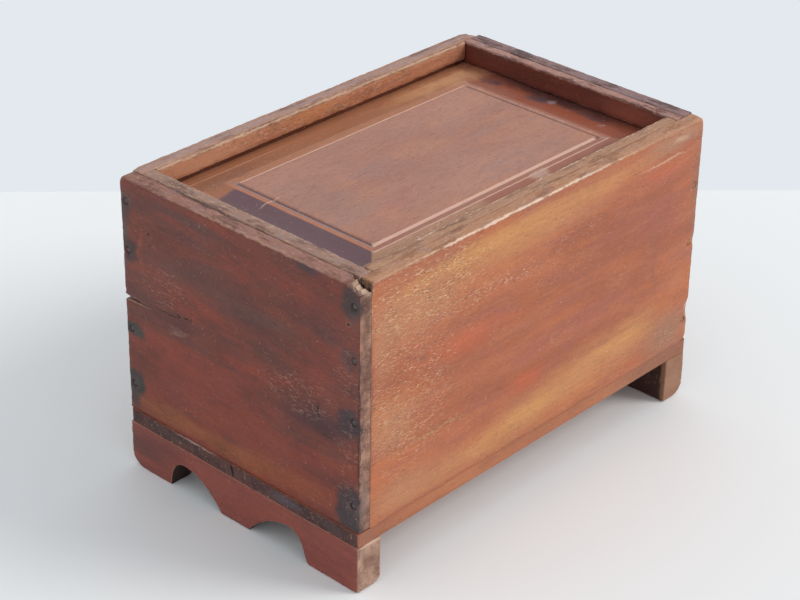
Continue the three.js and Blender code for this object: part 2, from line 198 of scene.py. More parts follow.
# Building a closed skin
def scattered(loop, rims, spacing, rng):
    """Points spread over an outline's inside, off its edge and out of the pockets."""
    low, high = loop.min(axis=0), loop.max(axis=0)
    columns = np.arange(low[0], high[0], spacing)
    rows = np.arange(low[1], high[1], spacing * ROW_RATIO)
    grid = np.array([(column + spacing * 0.5 * (index % 2), row)
                     for index, row in enumerate(rows) for column in columns])
    grid += (rng.random(grid.shape) - 0.5) * spacing * GRID_JITTER
    grid = grid[inside(grid, loop)]
    walls = np.concatenate([loop, *rims])
    nearest = np.array([((walls - point) ** 2).sum(axis=1).min() for point in grid])
    grid = grid[nearest > (spacing * GRID_CLEARANCE) ** 2]
    for rim in rims:
        grid = grid[~inside(grid, rim)]
    return grid


class Skin:
    """The points, outward directions, wear and faces of one piece while it is built."""

    def __init__(self):
        self.points, self.normals, self.wear, self.faces = [], [], [], []
        self.paints = {}

    def paint(self, name, values):
        """Marks points, given as a value at each index, for the material to colour."""
        self.paints.setdefault(name, {}).update(values)

    def add(self, points, normals, wear):
        """Adds points and gives the index of the first."""
        start = len(self.points)
        self.points += [tuple(point) for point in points]
        self.normals += [tuple(normal) for normal in np.broadcast_to(normals, (len(points), 3))]
        self.wear += list(np.broadcast_to(wear, (len(points),)))
        return start

    def band(self, first, second, count):
        """Joins two rings of the same count with four-sided faces."""
        for k in range(count):
            ahead = (k + 1) % count
            self.faces.append((first + k, first + ahead, second + ahead, second + k))

    def sink(self, first, rim, centre, radius, depth, level, facing):
        """A pocket from its rim, whose first index is given: a slope, a wall and a floor."""
        count, towards = len(rim), (0, 0, facing)
        for k in range(count):
            self.wear[first + k] = POCKET_WEAR
        away = rim - np.array(centre)
        foot = np.array(centre) + away / np.linalg.norm(away, axis=1)[:, None] * radius
        slope = self.add([(a, b, level - facing * POCKET_SLOPE) for a, b in foot], towards, 0.0)
        floor = self.add([(a, b, level - facing * depth) for a, b in foot], towards, 0.0)
        self.band(first, slope, count)
        self.band(slope, floor, count)
        middle = self.add([(*centre, level - facing * depth)], towards, 0.0)
        self.faces += [(floor + k, floor + (k + 1) % count, middle) for k in range(count)]

    def cap(self, start, loop, level, facing, spacing, pockets, seed):
        """Closes an outline with fine triangles, with a pocket sunk where each nail head lies."""
        rng = np.random.default_rng(seed)
        rims = []
        for centre, radius, depth in pockets:
            angle = np.linspace(0, 2 * math.pi, POCKET_POINTS, endpoint=False)
            reach = radius * (POCKET_REACH + POCKET_RAGGED * rng.random(POCKET_POINTS))
            rims.append(np.array(centre) + np.stack([np.cos(angle), np.sin(angle)], axis=1) * reach[:, None])
        grid = scattered(loop, rims, spacing, rng)
        flat = np.concatenate([loop, *rims, grid])
        edges, first = [], 0
        for ring in [loop, *rims]:
            edges += [(first + k, first + (k + 1) % len(ring)) for k in range(len(ring))]
            first += len(ring)
        corners = [Vector(point) for point in flat]
        places, _, triangles, origins, _, _ = geometry.delaunay_2d_cdt(corners, edges, [], 1, 1e-6)
        inner = self.add([(a, b, level) for a, b in flat[len(loop):]], (0, 0, facing), 0.0)
        index = []
        for place, origin in zip(places, origins):
            if origin:
                k = origin[0]
                index.append(start + k if k < len(loop) else inner + k - len(loop))
            else:
                index.append(self.add([(place[0], place[1], level)], (0, 0, facing), 0.0))
        middles = np.array([sum((np.array(places[k]) for k in triangle), np.zeros(2)) / 3
                            for triangle in triangles])
        keep = inside(middles, loop)
        for rim in rims:
            keep &= ~inside(middles, rim)
        self.faces += [tuple(index[k] for k in triangle) for triangle, kept in zip(triangles, keep) if kept]
        first = inner
        for (centre, radius, depth), rim in zip(pockets, rims):
            self.sink(first, rim, centre, radius, depth, level, facing)
            first += len(rim)


def finish_piece(name, skin, axes, nodes, body, material, seed, ripple, dents):
    """Wears the skin down with noise and dents, and makes it the piece that stands for CAD nodes."""
    points = np.empty((len(skin.points), 3))
    normals = np.empty_like(points)
    points[:, axes] = np.array(skin.points)
    normals[:, axes] = np.array(skin.normals)
    wear = np.array(skin.wear)
    broad, fine = soft_noise(points, BROAD_RIPPLE, seed), soft_noise(points, FINE_RIPPLE, seed + 3)
    loss = ripple * (BROAD_SHARE * broad + (1 - BROAD_SHARE) * fine)
    nicked = np.clip(soft_noise(points, NICK_SIZE, seed + 9) - NICK_FLOOR, 0, None)
    loss += NICK_DEPTH * np.clip(wear - NICK_WEAR, 0, None) * nicked
    for centre, reach, depth in dents:
        distance = np.linalg.norm((points - np.array(centre)) / np.array(reach), axis=1)
        share = np.clip(1 - distance**2, 0, None) ** 1.5
        rough = DENT_LEAST + DENT_SWING * soft_noise(points, DENT_GRAIN, seed + 5) if share.any() else 1
        loss = loss + depth * share * rough
        wear = np.maximum(wear, share * DENT_WEAR)
    points -= normals * loss[:, None]
    mesh = bpy.data.meshes.new(name)
    mesh.from_pydata((points * MM).tolist(), [], skin.faces)
    form = bmesh.new()
    form.from_mesh(mesh)
    bmesh.ops.recalc_face_normals(form, faces=form.faces)
    form.to_mesh(mesh)
    form.free()
    mesh.shade_smooth()
    mesh.set_sharp_from_angle(angle=math.radians(SHARP_ANGLE))
    measures = {"wear": np.clip(wear, 0, 1).astype(np.float32)}
    for attribute, painted in skin.paints.items():
        measures[attribute] = np.zeros(len(points), np.float32)
        measures[attribute][list(painted)] = list(painted.values())
    for attribute, values in measures.items():
        mesh.attributes.new(attribute, "FLOAT", "POINT").data.foreach_set("value", values)
    mesh.materials.append(material)
    piece = put(name, mesh)
    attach(piece, body)
    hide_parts(*nodes)


def board(name, node, axes, outline, low, high, body, slot, material, *, seed, edge=0.8, worn=0.9, step=2.2,
          spacing=(3.0, 3.0), pockets=((), ()), ripple=0.16, dents=(), toe=None, tight=None, painted=None):
    """A board with a worn edge all round: an outline in two axes, made thick along the third.

    A toe (level, radius) wears the outline's lowest edge round where it meets the face at that level. Tight
    tells which outline points keep a crisp edge against a neighbour. Painted is an attribute's name with a
    test for the outline points that carry it through the thickness.
    """
    loop = divided(np.array(outline, float), step)
    unit, mitre = outward_of(loop)
    outward = unit * mitre[:, None]
    skin = Skin()
    crisp = tight(loop) if tight else np.zeros(len(loop), bool)

    def radius_at(level, shift):
        where = np.column_stack([loop, np.full(len(loop), level)])
        slow = soft_noise(where, WEAR_SIZE, seed + shift)
        quick = soft_noise(where, CHIP_SIZE, seed + shift + 7)
        chips = np.clip(quick - CHIP_FLOOR, 0, None) * CHIP_GAIN
        radius = edge * (LEAST_EDGE + worn * slow + worn * chips)
        return fitted_radius(loop, outward, np.where(crisp, CRISP_EDGE * edge, radius))

    low_radius, high_radius = radius_at(low, 1), radius_at(high, 2)
    rings = [(low_radius, low, 1, angle, wear) for angle, wear in zip(ARC, ARC_WEAR)]
    middles = max(1, round((high - low) / RING_SPACING))
    rings += [(None, (k + 1) / (middles + 1), 0, 90, FACE_WEAR) for k in range(middles)]
    rings += [(high_radius, high, -1, angle, wear) for angle, wear in zip(ARC[::-1], ARC_WEAR[::-1])]
    starts = []
    for radius, level, side, angle, wear in rings:
        lean = math.radians(angle)
        if side:
            flat = loop - outward * (radius * (1 - math.sin(lean)))[:, None]
            through = level + side * radius * (1 - math.cos(lean))
        else:
            flat = loop
            through = low + low_radius + (high - high_radius - low - low_radius) * level
        if toe:
            face, round_off = toe
            short = np.clip(round_off - np.abs(through - face), 0, None)
            lifted = round_off - np.sqrt(round_off**2 - short**2)
            share = np.clip(1 - flat[:, 1] / (TOE_REACH * round_off), 0, 1)
            flat = flat + np.column_stack([np.zeros(len(flat)), lifted * share])
        normal = np.column_stack([unit * math.sin(lean), np.full(len(loop), -side * math.cos(lean))])
        starts.append(skin.add(np.column_stack([flat, through]), normal, np.where(crisp, CRISP_WEAR, wear)))
        if painted and angle >= ARC[2]:
            name_of_paint, test = painted
            skin.paint(name_of_paint, {starts[-1] + k: 1.0 for k in np.flatnonzero(test(loop))})
    for first, second in zip(starts, starts[1:]):
        skin.band(first, second, len(loop))
    for start, level, facing, gap, sunk in (
        (starts[0], low, -1, spacing[0], pockets[0]),
        (starts[-1], high, 1, spacing[1], pockets[1]),
    ):
        rim = np.array(skin.points[start:start + len(loop)])[:, :2]
        skin.cap(start, rim, level, facing, gap, sunk, 100 * seed + facing + 1)
    finish_piece(name, skin, axes, (node,), body, material, seed, ripple, dents)


def plank(low, high, radii=(1, 1, 1, 1)):
    """A plain outline: radii at low-low, high-low, high-high and low-high."""
    (a, b), (c, d) = low, high
    return rounded([(a, b, radii[0]), (c, b, radii[1]), (c, d, radii[2]), (a, d, radii[3])])


# Materials: lengths in metres, the rest shares
SWAY, STROKE_SOFTNESS = 6 * MM, 0.07
RIM_RAGGED, RIM_FADE_LOW, RIM_FADE_HIGH = 3.5 * MM, (RIM - 2.0) * MM, (RIM - 0.8) * MM
WOOD_BUMP, IRON_BUMP = 0.6 * MM, 0.4 * MM
SPECULAR = 0.32
DUST_SHARE = 0.3


# Node helpers
class Nodes:
    """Short calls for building a material's node tree, with colours as they are seen, 0 to 255."""

    def __init__(self, name):
        self.material = bpy.data.materials.new(name)
        self.material.use_nodes = True
        self.tree = self.material.node_tree
        self.shader = self.tree.nodes["Principled BSDF"]
        self.place = self.new("TexCoord").outputs["Object"]
        self.facing = self.place.node.outputs["Normal"]

    def new(self, kind, **settings):
        node = self.tree.nodes.new("ShaderNode" + kind)
        for key, value in settings.items():
            setattr(node, key, value)
        return node

    def feed(self, socket, value):
        """Links a socket to another, or sets it to a value."""
        if isinstance(value, bpy.types.NodeSocket):
            self.tree.links.new(value, socket)
        elif socket.type == "RGBA" and len(value) == 3:
            socket.default_value = srgb(*value)
        else:
            socket.default_value = value

    def fed(self, node, values):
        """Feeds a node's named inputs and gives its outputs."""
        for key, value in values.items():
            self.feed(node.inputs[key], value)
        return node.outputs

    def math(self, operation, *values):
        node = self.new("Math", operation=operation)
        for socket, value in zip(node.inputs, values):
            self.feed(socket, value)
        return node.outputs[0]

    def times(self, first, second):
        return self.math("MULTIPLY", first, second)

    def plus(self, first, second):
        return self.math("ADD", first, second)

    def swing(self, value, reach):
        """A value from 0 to 1 as one from minus half the reach to plus half of it."""
        return self.times(self.math("SUBTRACT", value, 0.5), reach)

    def vector(self, operation, *values):
        node = self.new("VectorMath", operation=operation)
        for socket, value in zip(node.inputs, values):
            self.feed(socket, value)
        return node.outputs["Value"] if operation == "LENGTH" else node.outputs["Vector"]

    def part(self, value, axis):
        """One of a vector's three numbers."""
        node = self.new("SeparateXYZ")
        self.feed(node.inputs[0], value)
        return node.outputs[axis]

    def attribute(self, name):
        return self.new("Attribute", attribute_name=name).outputs["Fac"]

    def ramp(self, value, low, high, bottom=0.0, top=1.0):
        """A value read from low to high as bottom to top, with soft ends."""
        node = self.new("MapRange", interpolation_type="SMOOTHSTEP")
        values = {"Value": value, "From Min": low, "From Max": high, "To Min": bottom, "To Max": top}
        return self.fed(node, values)["Result"]

    def noise(self, place, scale, detail=2.0, rough=0.5, warp=0.0, colour=False):
        values = {"Vector": place, "Scale": scale, "Detail": detail, "Roughness": rough, "Distortion": warp}
        return self.fed(self.new("TexNoise"), values)["Color" if colour else "Fac"]

    def mapped(self, place, scale, shift, angle=(0, 0, 0), kind="POINT"):
        """A place scaled, turned and shifted. The kind TEXTURE measures it in turned steps instead."""
        values = {"Vector": place, "Scale": scale, "Location": shift, "Rotation": angle}
        return self.fed(self.new("Mapping", vector_type=kind), values)["Vector"]

    def mix(self, share, first, second, mode="MIX"):
        node = self.new("Mix", data_type="RGBA", blend_type=mode)
        self.feed(node.inputs["Factor"], share)
        first_colour, second_colour = (socket for socket in node.inputs if socket.type == "RGBA")
        self.feed(first_colour, first)
        self.feed(second_colour, second)
        return next(socket for socket in node.outputs if socket.type == "RGBA")

    def bump(self, height, strength, depth):
        values = {"Strength": strength, "Distance": depth, "Height": height}
        self.feed(self.shader.inputs["Normal"], self.fed(self.new("Bump"), values)["Normal"])


class WoodNodes(Nodes):
    """The places, zones and strokes that one aged wood is made of."""

    def __init__(self, name, grain, face, seed):
        super().__init__(name)
        self.grain, self.face, self.seed = grain, face, seed
        self.shift = (0.37 * seed, 0.71 * seed, 0.53 * seed)
        self.here = self.mapped(self.place, (1, 1, 1), self.shift)
        self.swayed = self.moved(self.noise(self.here, 9, 2, 0.5, colour=True), (SWAY,) * 3)

    def across_grain(self, across, lengthwise):
        """Three numbers: one for the axis of the grain, the other for the two axes across it."""
        values = [across] * 3
        values[self.grain] = lengthwise
        return tuple(values)

    def moved(self, colour_noise, reach):
        """The place moved about by a noise's three channels, half the reach each way."""
        away = self.vector("SUBTRACT", colour_noise, (0.5, 0.5, 0.5))
        return self.vector("ADD", self.place, self.vector("MULTIPLY", away, reach))

    def along(self, ratio, place=None):
        """A place whose patterns are drawn out along the grain by a ratio."""
        place = self.swayed if place is None else place
        return self.mapped(place, self.across_grain(ratio, 1), self.shift)

    def wandered(self, scale, reach, ratio=1):
        """The place moved about by noise, less across the grain where a ratio is given."""
        drift = self.noise(self.along(ratio, self.place), scale, 3, 0.62, colour=True)
        return self.moved(drift, self.across_grain(reach / ratio**0.5, reach))

    def zone(self, moved, centre, radii, softness):
        """1 inside an ellipsoid, falling to 0 at its surface."""
        away = self.vector("SUBTRACT", moved, tuple(value * MM for value in centre))
        away = self.vector("MULTIPLY", away, tuple(1 / (value * MM) for value in radii))
        return self.ramp(self.vector("LENGTH", away), 1.0, 1.0 - softness)

    def stained(self, colour, items, moved):
        for centre, radii, tone, share, softness in items:
            colour = self.mix(self.times(self.zone(moved, centre, radii, softness), share), colour, tone)
        return colour

    def strokes(self, length, width, turn, lowest, index, uneven=0.0):
        """Short straight lines, turned in the board's face."""
        angle = [0, 0, 0]
        angle[self.face] = turn
        size = self.across_grain(width * MM, length * MM)
        shift = (0.13 * index, 0.29 * index, 0.17 * self.seed)
        lines = self.noise(self.mapped(self.place, size, shift, angle, "TEXTURE"), 1, 2, 0.5, uneven)
        return self.ramp(lines, lowest, lowest + STROKE_SOFTNESS)

    def end_grain(self, tones, pit_tone, edge, speckle):
        """The colour of sawn ends."""
        colour = self.mix(self.ramp(self.noise(self.here, 90, 4, 0.62), 0.34, 0.66), *tones)
        colour = self.mix(self.ramp(speckle, 0.55, 0.64, 0, 0.45), colour, pit_tone)
        return self.mix(self.ramp(speckle, 0.42, 0.34, 0, 0.4), colour, edge)

    def rim_top(self, tones, chips):
        """The share and the colour of the rough, chipped wood along the rim."""
        ragged = self.plus(self.part(self.place, Z), self.swing(chips, RIM_RAGGED))
        share = self.ramp(ragged, RIM_FADE_LOW, RIM_FADE_HIGH, 0, 0.92)
        dark, middle, light, cold = tones
        colour = self.mix(self.ramp(self.noise(self.along(4), 46, 4, 0.62), 0.38, 0.52), dark, middle)
        colour = self.mix(self.ramp(chips, 0.53, 0.68, 0, 0.6), colour, light)
        colour = self.mix(self.ramp(chips, 0.44, 0.32, 0, 0.5), colour, dark)
        chill = self.noise(self.along(2, self.place), 90, 4, 0.65)
        return share, self.mix(self.ramp(chill, 0.54, 0.66, 0, 0.5), colour, cold)

    def bare_share(self, flaked, flecks, moved):
        """How far the polish is gone: in patches everywhere, and more in the flaked zones."""
        bare = self.ramp(self.noise(self.here, 36, 3, 0.6), 0.46, 0.7, 0, flecks)
        for centre, radii, share in flaked:
            bare = self.math("MAXIMUM", bare, self.times(self.zone(moved, centre, radii, 0.6), share))
        clusters = self.noise(self.along(2, self.place), 95, 3, 0.6)
        return self.times(bare, self.ramp(clusters, 0.38, 0.6, 0.25, 1))


def wood(name, grain, face, tones, *, seed, warm, cool, grime, edge, warm_share=0.4, cool_share=0.3,
         grime_share=0.35, edge_share=0.6, end_tones=((110, 84, 70), (150, 120, 98)), rim=None, fleck=None,
         spots=(), stains=(), marks=(), paints=(), flaked=(), flecks=0.25, scratches=0.3, fibre=0.06,
         pores=0.3, rough=0.5, stretch=9):
    """Aged hardwood: a quiet figure along the grain, warm, cool and dirty blotches, pores, flecks where the
    polish has gone, scratches, worn edges, end grain and a rougher top along the rim.

    Spots are soft drawn out tones (centre, radii, colour, share, softness) in millimetres, stains are frayed
    ones of the same form and marks small sharp ones. Paints (attribute, colour, share) colour what the shape
    code has marked. Some spots, stains, marks and paints are painted shade or painted highlights, as said
    where they are given. Flaked lists the zones (centre, radii, share) where most of the polish is gone.
    """
    n = WoodNodes(name, grain, face, seed)
    dark, middle, light = tones
    pit_tone = tuple(0.4 * value for value in srgb(*dark)[:3]) + (1.0,)
    drifting, frayed, crisp = n.wandered(18, 0.03, 4), n.wandered(75, 0.014), n.wandered(170, 0.004)

    # The figure and its blotches
    figure = n.noise(n.along(stretch), 9, 4, 0.58, 0.3)
    colour = n.mix(n.ramp(figure, 0.32, 0.56), dark, middle)
    colour = n.mix(n.ramp(figure, 0.48, 0.74), colour, light)
    colour = n.mix(n.ramp(n.noise(n.along(5), 15, 4, 0.6), 0.46, 0.7, 0, warm_share), colour, warm)
    colour = n.mix(n.ramp(n.noise(n.along(5), 19, 4, 0.62), 0.5, 0.7, 0, cool_share), colour, cool)
    colour = n.stained(colour, spots, drifting)

    # Fibres, dirt, pores and grit
    fibres = n.noise(n.along(26), 34, 3, 0.6)
    colour = n.mix(1.0, colour, n.ramp(fibres, 0.25, 0.75, 1 - fibre, 1 + fibre), "MULTIPLY")
    patch = n.noise(n.along(1.5, n.place), 27, 6, 0.64)
    dirt = n.ramp(patch, 0.46, 0.74, 0, grime_share)
    colour = n.mix(dirt, colour, grime)
    pits = n.ramp(n.noise(n.along(11), 150, 2, 0.5), 0.61, 0.7)
    colour = n.mix(n.times(pits, pores), colour, pit_tone)
    grit = n.noise(n.along(2.2, n.place), 420, 3, 0.6)
    colour = n.mix(1.0, colour, n.ramp(grit, 0.3, 0.7, 0.93, 1.07), "MULTIPLY")

    # Sawn ends, worn edges and the rim's top
    ended = n.ramp(n.math("ABSOLUTE", n.part(n.facing, grain)), 0.62, 0.85)
    speckle = n.noise(n.here, 430, 5, 0.7)
    colour = n.mix(ended, colour, n.mix(dirt, n.end_grain(end_tones, pit_tone, edge, speckle), grime))
    broken = n.swing(n.noise(n.here, 210, 4, 0.65), 1.5)
    worn = n.times(n.ramp(n.plus(n.attribute("wear"), broken), 0.4, 1.05), edge_share)
    colour = n.mix(worn, colour, edge)
    chips = n.noise(n.along(3, n.place), 240, 5, 0.72)
    top = 0.0
    if rim:
        top, top_tone = n.rim_top(rim, chips)
        colour = n.mix(top, colour, top_tone)

    # What has stained it
    for attribute, tone, share in paints:
        painted = n.plus(n.attribute(attribute), n.swing(patch, 0.4))
        colour = n.mix(n.ramp(painted, 0.25, 0.75, 0.0, share), colour, tone)
    colour = n.stained(n.stained(colour, stains, frayed), marks, crisp)

    # Flecks, scratches and dust
    bare = n.bare_share(flaked, flecks, drifting)
    dark_fleck = n.strokes(length=3.4, width=0.7, turn=-0.05, lowest=0.6, index=5, uneven=0.5)
    chafed = n.times(n.strokes(length=2.8, width=0.56, turn=0.06, lowest=0.56, index=1, uneven=0.6), bare)
    colour = n.mix(n.times(dark_fleck, bare), colour, pit_tone)
    colour = n.mix(chafed, colour, fleck or edge)
    lines = n.math("MAXIMUM", n.strokes(length=16, width=0.5, turn=0.6, lowest=0.7, index=2),
                   n.strokes(length=20, width=0.45, turn=-0.45, lowest=0.71, index=3))
    lines = n.times(lines, n.ramp(n.noise(n.here, 48, 2, 0.5), 0.5, 0.62))
    colour = n.mix(n.times(lines, scratches), colour, edge)
    dust = n.ramp(n.noise(n.here, 620, 1, 0.5), 0.7, 0.78)
    n.feed(n.shader.inputs["Base Color"], n.mix(n.times(dust, DUST_SHARE), colour, edge))

    # Relief and polish
    raised = n.times(fibres, 0.3)
    for share, part in ((-0.4, pits), (0.35, chafed), (-0.4, lines), (1.2, patch), (0.35, grit)):
        raised = n.plus(raised, n.times(part, share))
    raised = n.plus(raised, n.times(n.times(speckle, n.math("MAXIMUM", ended, worn)), 0.8))
    raised = n.plus(raised, n.times(n.times(chips, top), 1.1))
    n.bump(raised, 0.5, WOOD_BUMP)
    dull = n.ramp(patch, 0.3, 0.7, rough - 0.08, rough + 0.1)
    n.feed(n.shader.inputs["Roughness"], n.plus(dull, n.times(n.math("MAXIMUM", ended, top), 0.2)))
    n.feed(n.shader.inputs["Specular IOR Level"], SPECULAR)
    return n.material


def rusted_iron(name, dark, light):
    """Old wrought iron under rust and grime."""
    n = Nodes(name)
    rust = n.noise(n.place, 900, 5, 0.65)
    roughness = n.ramp(rust, 0.3, 0.7, 0.5, 0.85)
    colour = n.mix(n.ramp(rust, 0.35, 0.62), dark, light)
    n.fed(n.shader, {"Base Color": colour, "Roughness": roughness, "Metallic": 0.15})
    n.bump(rust, 0.8, IRON_BUMP)
    return n.material


# Tones that come back, and a reach that takes in everything
STAIN = (60, 48, 50)
# The hole tone is painted shade: a near-black standing for the shade inside holes, cracks and gaps.
HOLE_SHADE = (24, 14, 12)
ALL = 400


class Face:
    """Turns (along, height) on an outer face into a place, for the lists of tones."""

    def __init__(self, axis, level):
        self.axis, self.level = axis, level

    def __call__(self, along, height):
        return (along, self.level, height) if self.axis == Y else (self.level, along, height)

    def radii(self, half, high, deep=40):
        return (half, deep, high) if self.axis == Y else (deep, half, high)


FRONT, NEAR = Face(Y, -SIDE_Y), Face(X, -END_X)


def streaks(side, *groups):
    """Long soft zones on the face at that side. A group is a tone, a share and the places that have it:
    middle, height, half length, half height."""
    return tuple((side(along, height), side.radii(half, high), tone, share, 0.9)
                 for tone, share, *places in groups for along, height, half, high in places)


def marked(side, deep, *items):
    """Stains or marks on the face at that side: the place as for streaks, then tone, share and softness."""
    return tuple((side(along, height), side.radii(half, high, deep), *rest)
                 for along, height, half, high, *rest in items)


def bared(side, *items):
    """Zones without polish on the face at that side: the place as for streaks, then the share."""
    return tuple((side(along, height), side.radii(half, high), share)
                 for along, height, half, high, share in items)


# A bright line along a worn arris: worn wood, with a painted highlight on it.
def line_of_wear_and_highlight(place, radii, tone=(238, 208, 184), share=0.85):
    return (place, radii, tone, share, 0.7)


# The woods of the boards
front_wood = wood(
    "front_side_wood", X, Y, ((158, 88, 60), (174, 100, 69), (184, 112, 74)), seed=1,
    warm=(190, 108, 60), cool=(158, 92, 78), grime=(158, 104, 86), edge=(232, 194, 160),
    end_tones=((104, 72, 54), (150, 112, 88)),
    edge_share=0.7, grime_share=0.4, warm_share=0.5, cool_share=0.5,
    rim=((150, 104, 78), (180, 132, 102), (216, 178, 150), (154, 126, 122)),
    spots=streaks(
        FRONT,
        ((184, 128, 90), 0.75, (-100, 162, 60, 30), (-118, 96, 30, 26)),
        ((196, 136, 86), 0.7, (-20, 170, 110, 16), (40, 176, 70, 10), (-96, 47, 62, 11), (-46, 49, 62, 14),
              (4, 54, 64, 19), (48, 60, 60, 20), (86, 64, 50, 18)),
        ((206, 148, 86), 0.5, (-60, 174, 90, 8), (-4, 52, 40, 9), (74, 66, 40, 7)),
        ((180, 126, 92), 0.6, (-112, 52, 34, 18), (-124, 150, 14, 40)),
        ((190, 92, 58), 0.75, (-12, 74, 22, 9)),
        ((192, 98, 64), 0.6, (105, 163, 32, 8), (-62, 122, 60, 12)),
        ((160, 90, 74), 0.7, (108, 134, 34, 22), (-4, 92, 26, 8), (46, 96, 44, 14)),
        ((158, 114, 88), 0.9, (122, 50, 34, 22)), ((170, 124, 96), 0.85, (116, 180, 44, 10)),
        ((150, 90, 72), 0.45, (107, 104, 3, 46))),
    marks=marked(
        FRONT, 12,
        (139, 143.5, 5, 3, (168, 152, 132), 0.75, 0.8), (138.6, 106, 3, 3, (120, 92, 74), 0.5, 0.8),
        (108, 170.5, 32, 1.1, (214, 168, 138), 0.6, 0.8), (122, 180, 10, 2.6, (206, 170, 146), 0.5, 0.8),
        (-84, 77, 36, 0.8, (168, 130, 78), 0.7, 0.7), (-101, 136, 3.4, 2.4, (196, 92, 84), 0.6, 0.9),
        (-96, 127, 5, 1.6, (112, 84, 76), 0.6, 0.8), (-133.8, 112, 1.1, 76, (124, 78, 58), 0.5, 0.8),
    ) + (
        # Painted shade: darkens the far end's lit arris and the face beside it.
        ((END_X, -SIDE_Y, 112), (2.2, 2.6, 84), (134, 100, 84), 0.75, 0.7),
        *marked(FRONT, 12, (139.5, 146, 6, 44, (138, 98, 80), 0.5, 0.9)),
        line_of_wear_and_highlight((-20, -SIDE_Y, RIM - 0.3), (120, 1.5, 1.3)),
        # painted shade in the crack at the broken corner
        ((-133.6, -88.6, 182.6), (1.8, 1.8, 4.4), (54, 36, 28), 0.85, 0.7),
    ),
    flaked=bared(FRONT, (-96, 168, 70, 26, 0.9), (-106, 112, 46, 66, 0.6), (-46, 148, 70, 9, 0.7),
                 (-92, 76, 50, 6, 0.5), (-110, 90, 36, 10, 0.6)),
    flecks=0.28, scratches=0.4, stretch=6, fleck=(228, 186, 148))
back_wood = wood(
    "back_side_wood", X, Y, ((128, 72, 54), (148, 84, 62), (162, 94, 68)), seed=2,
    warm=(170, 98, 58), cool=(126, 78, 70), grime=(112, 76, 68), edge=(220, 184, 158),
    end_tones=((104, 74, 60), (146, 114, 94)), edge_share=0.7,
    rim=((136, 98, 86), (172, 132, 116), (214, 184, 166), (150, 132, 130)),
    # Painted shade under the back strip, on the inner face seen through the groove.
    spots=(((0, 82, 172), (ALL, 6, 7), (96, 50, 30), 0.9, 0.5),),
    marks=(
        line_of_wear_and_highlight((0, SIDE_Y - 0.4, RIM - 0.8), (ALL, 1.1, 1.8), (178, 112, 78), 0.7),
        line_of_wear_and_highlight((0, SIDE_INNER_Y + 3.6, RIM), (ALL, 1.8, 1.8), (162, 142, 142), 0.6),
        # painted shade in the gap at the rim's near back corner
        ((-134.2, 89, RIM), (1.0, 5, 3), HOLE_SHADE, 0.85, 0.6),
    ), flecks=0.3)
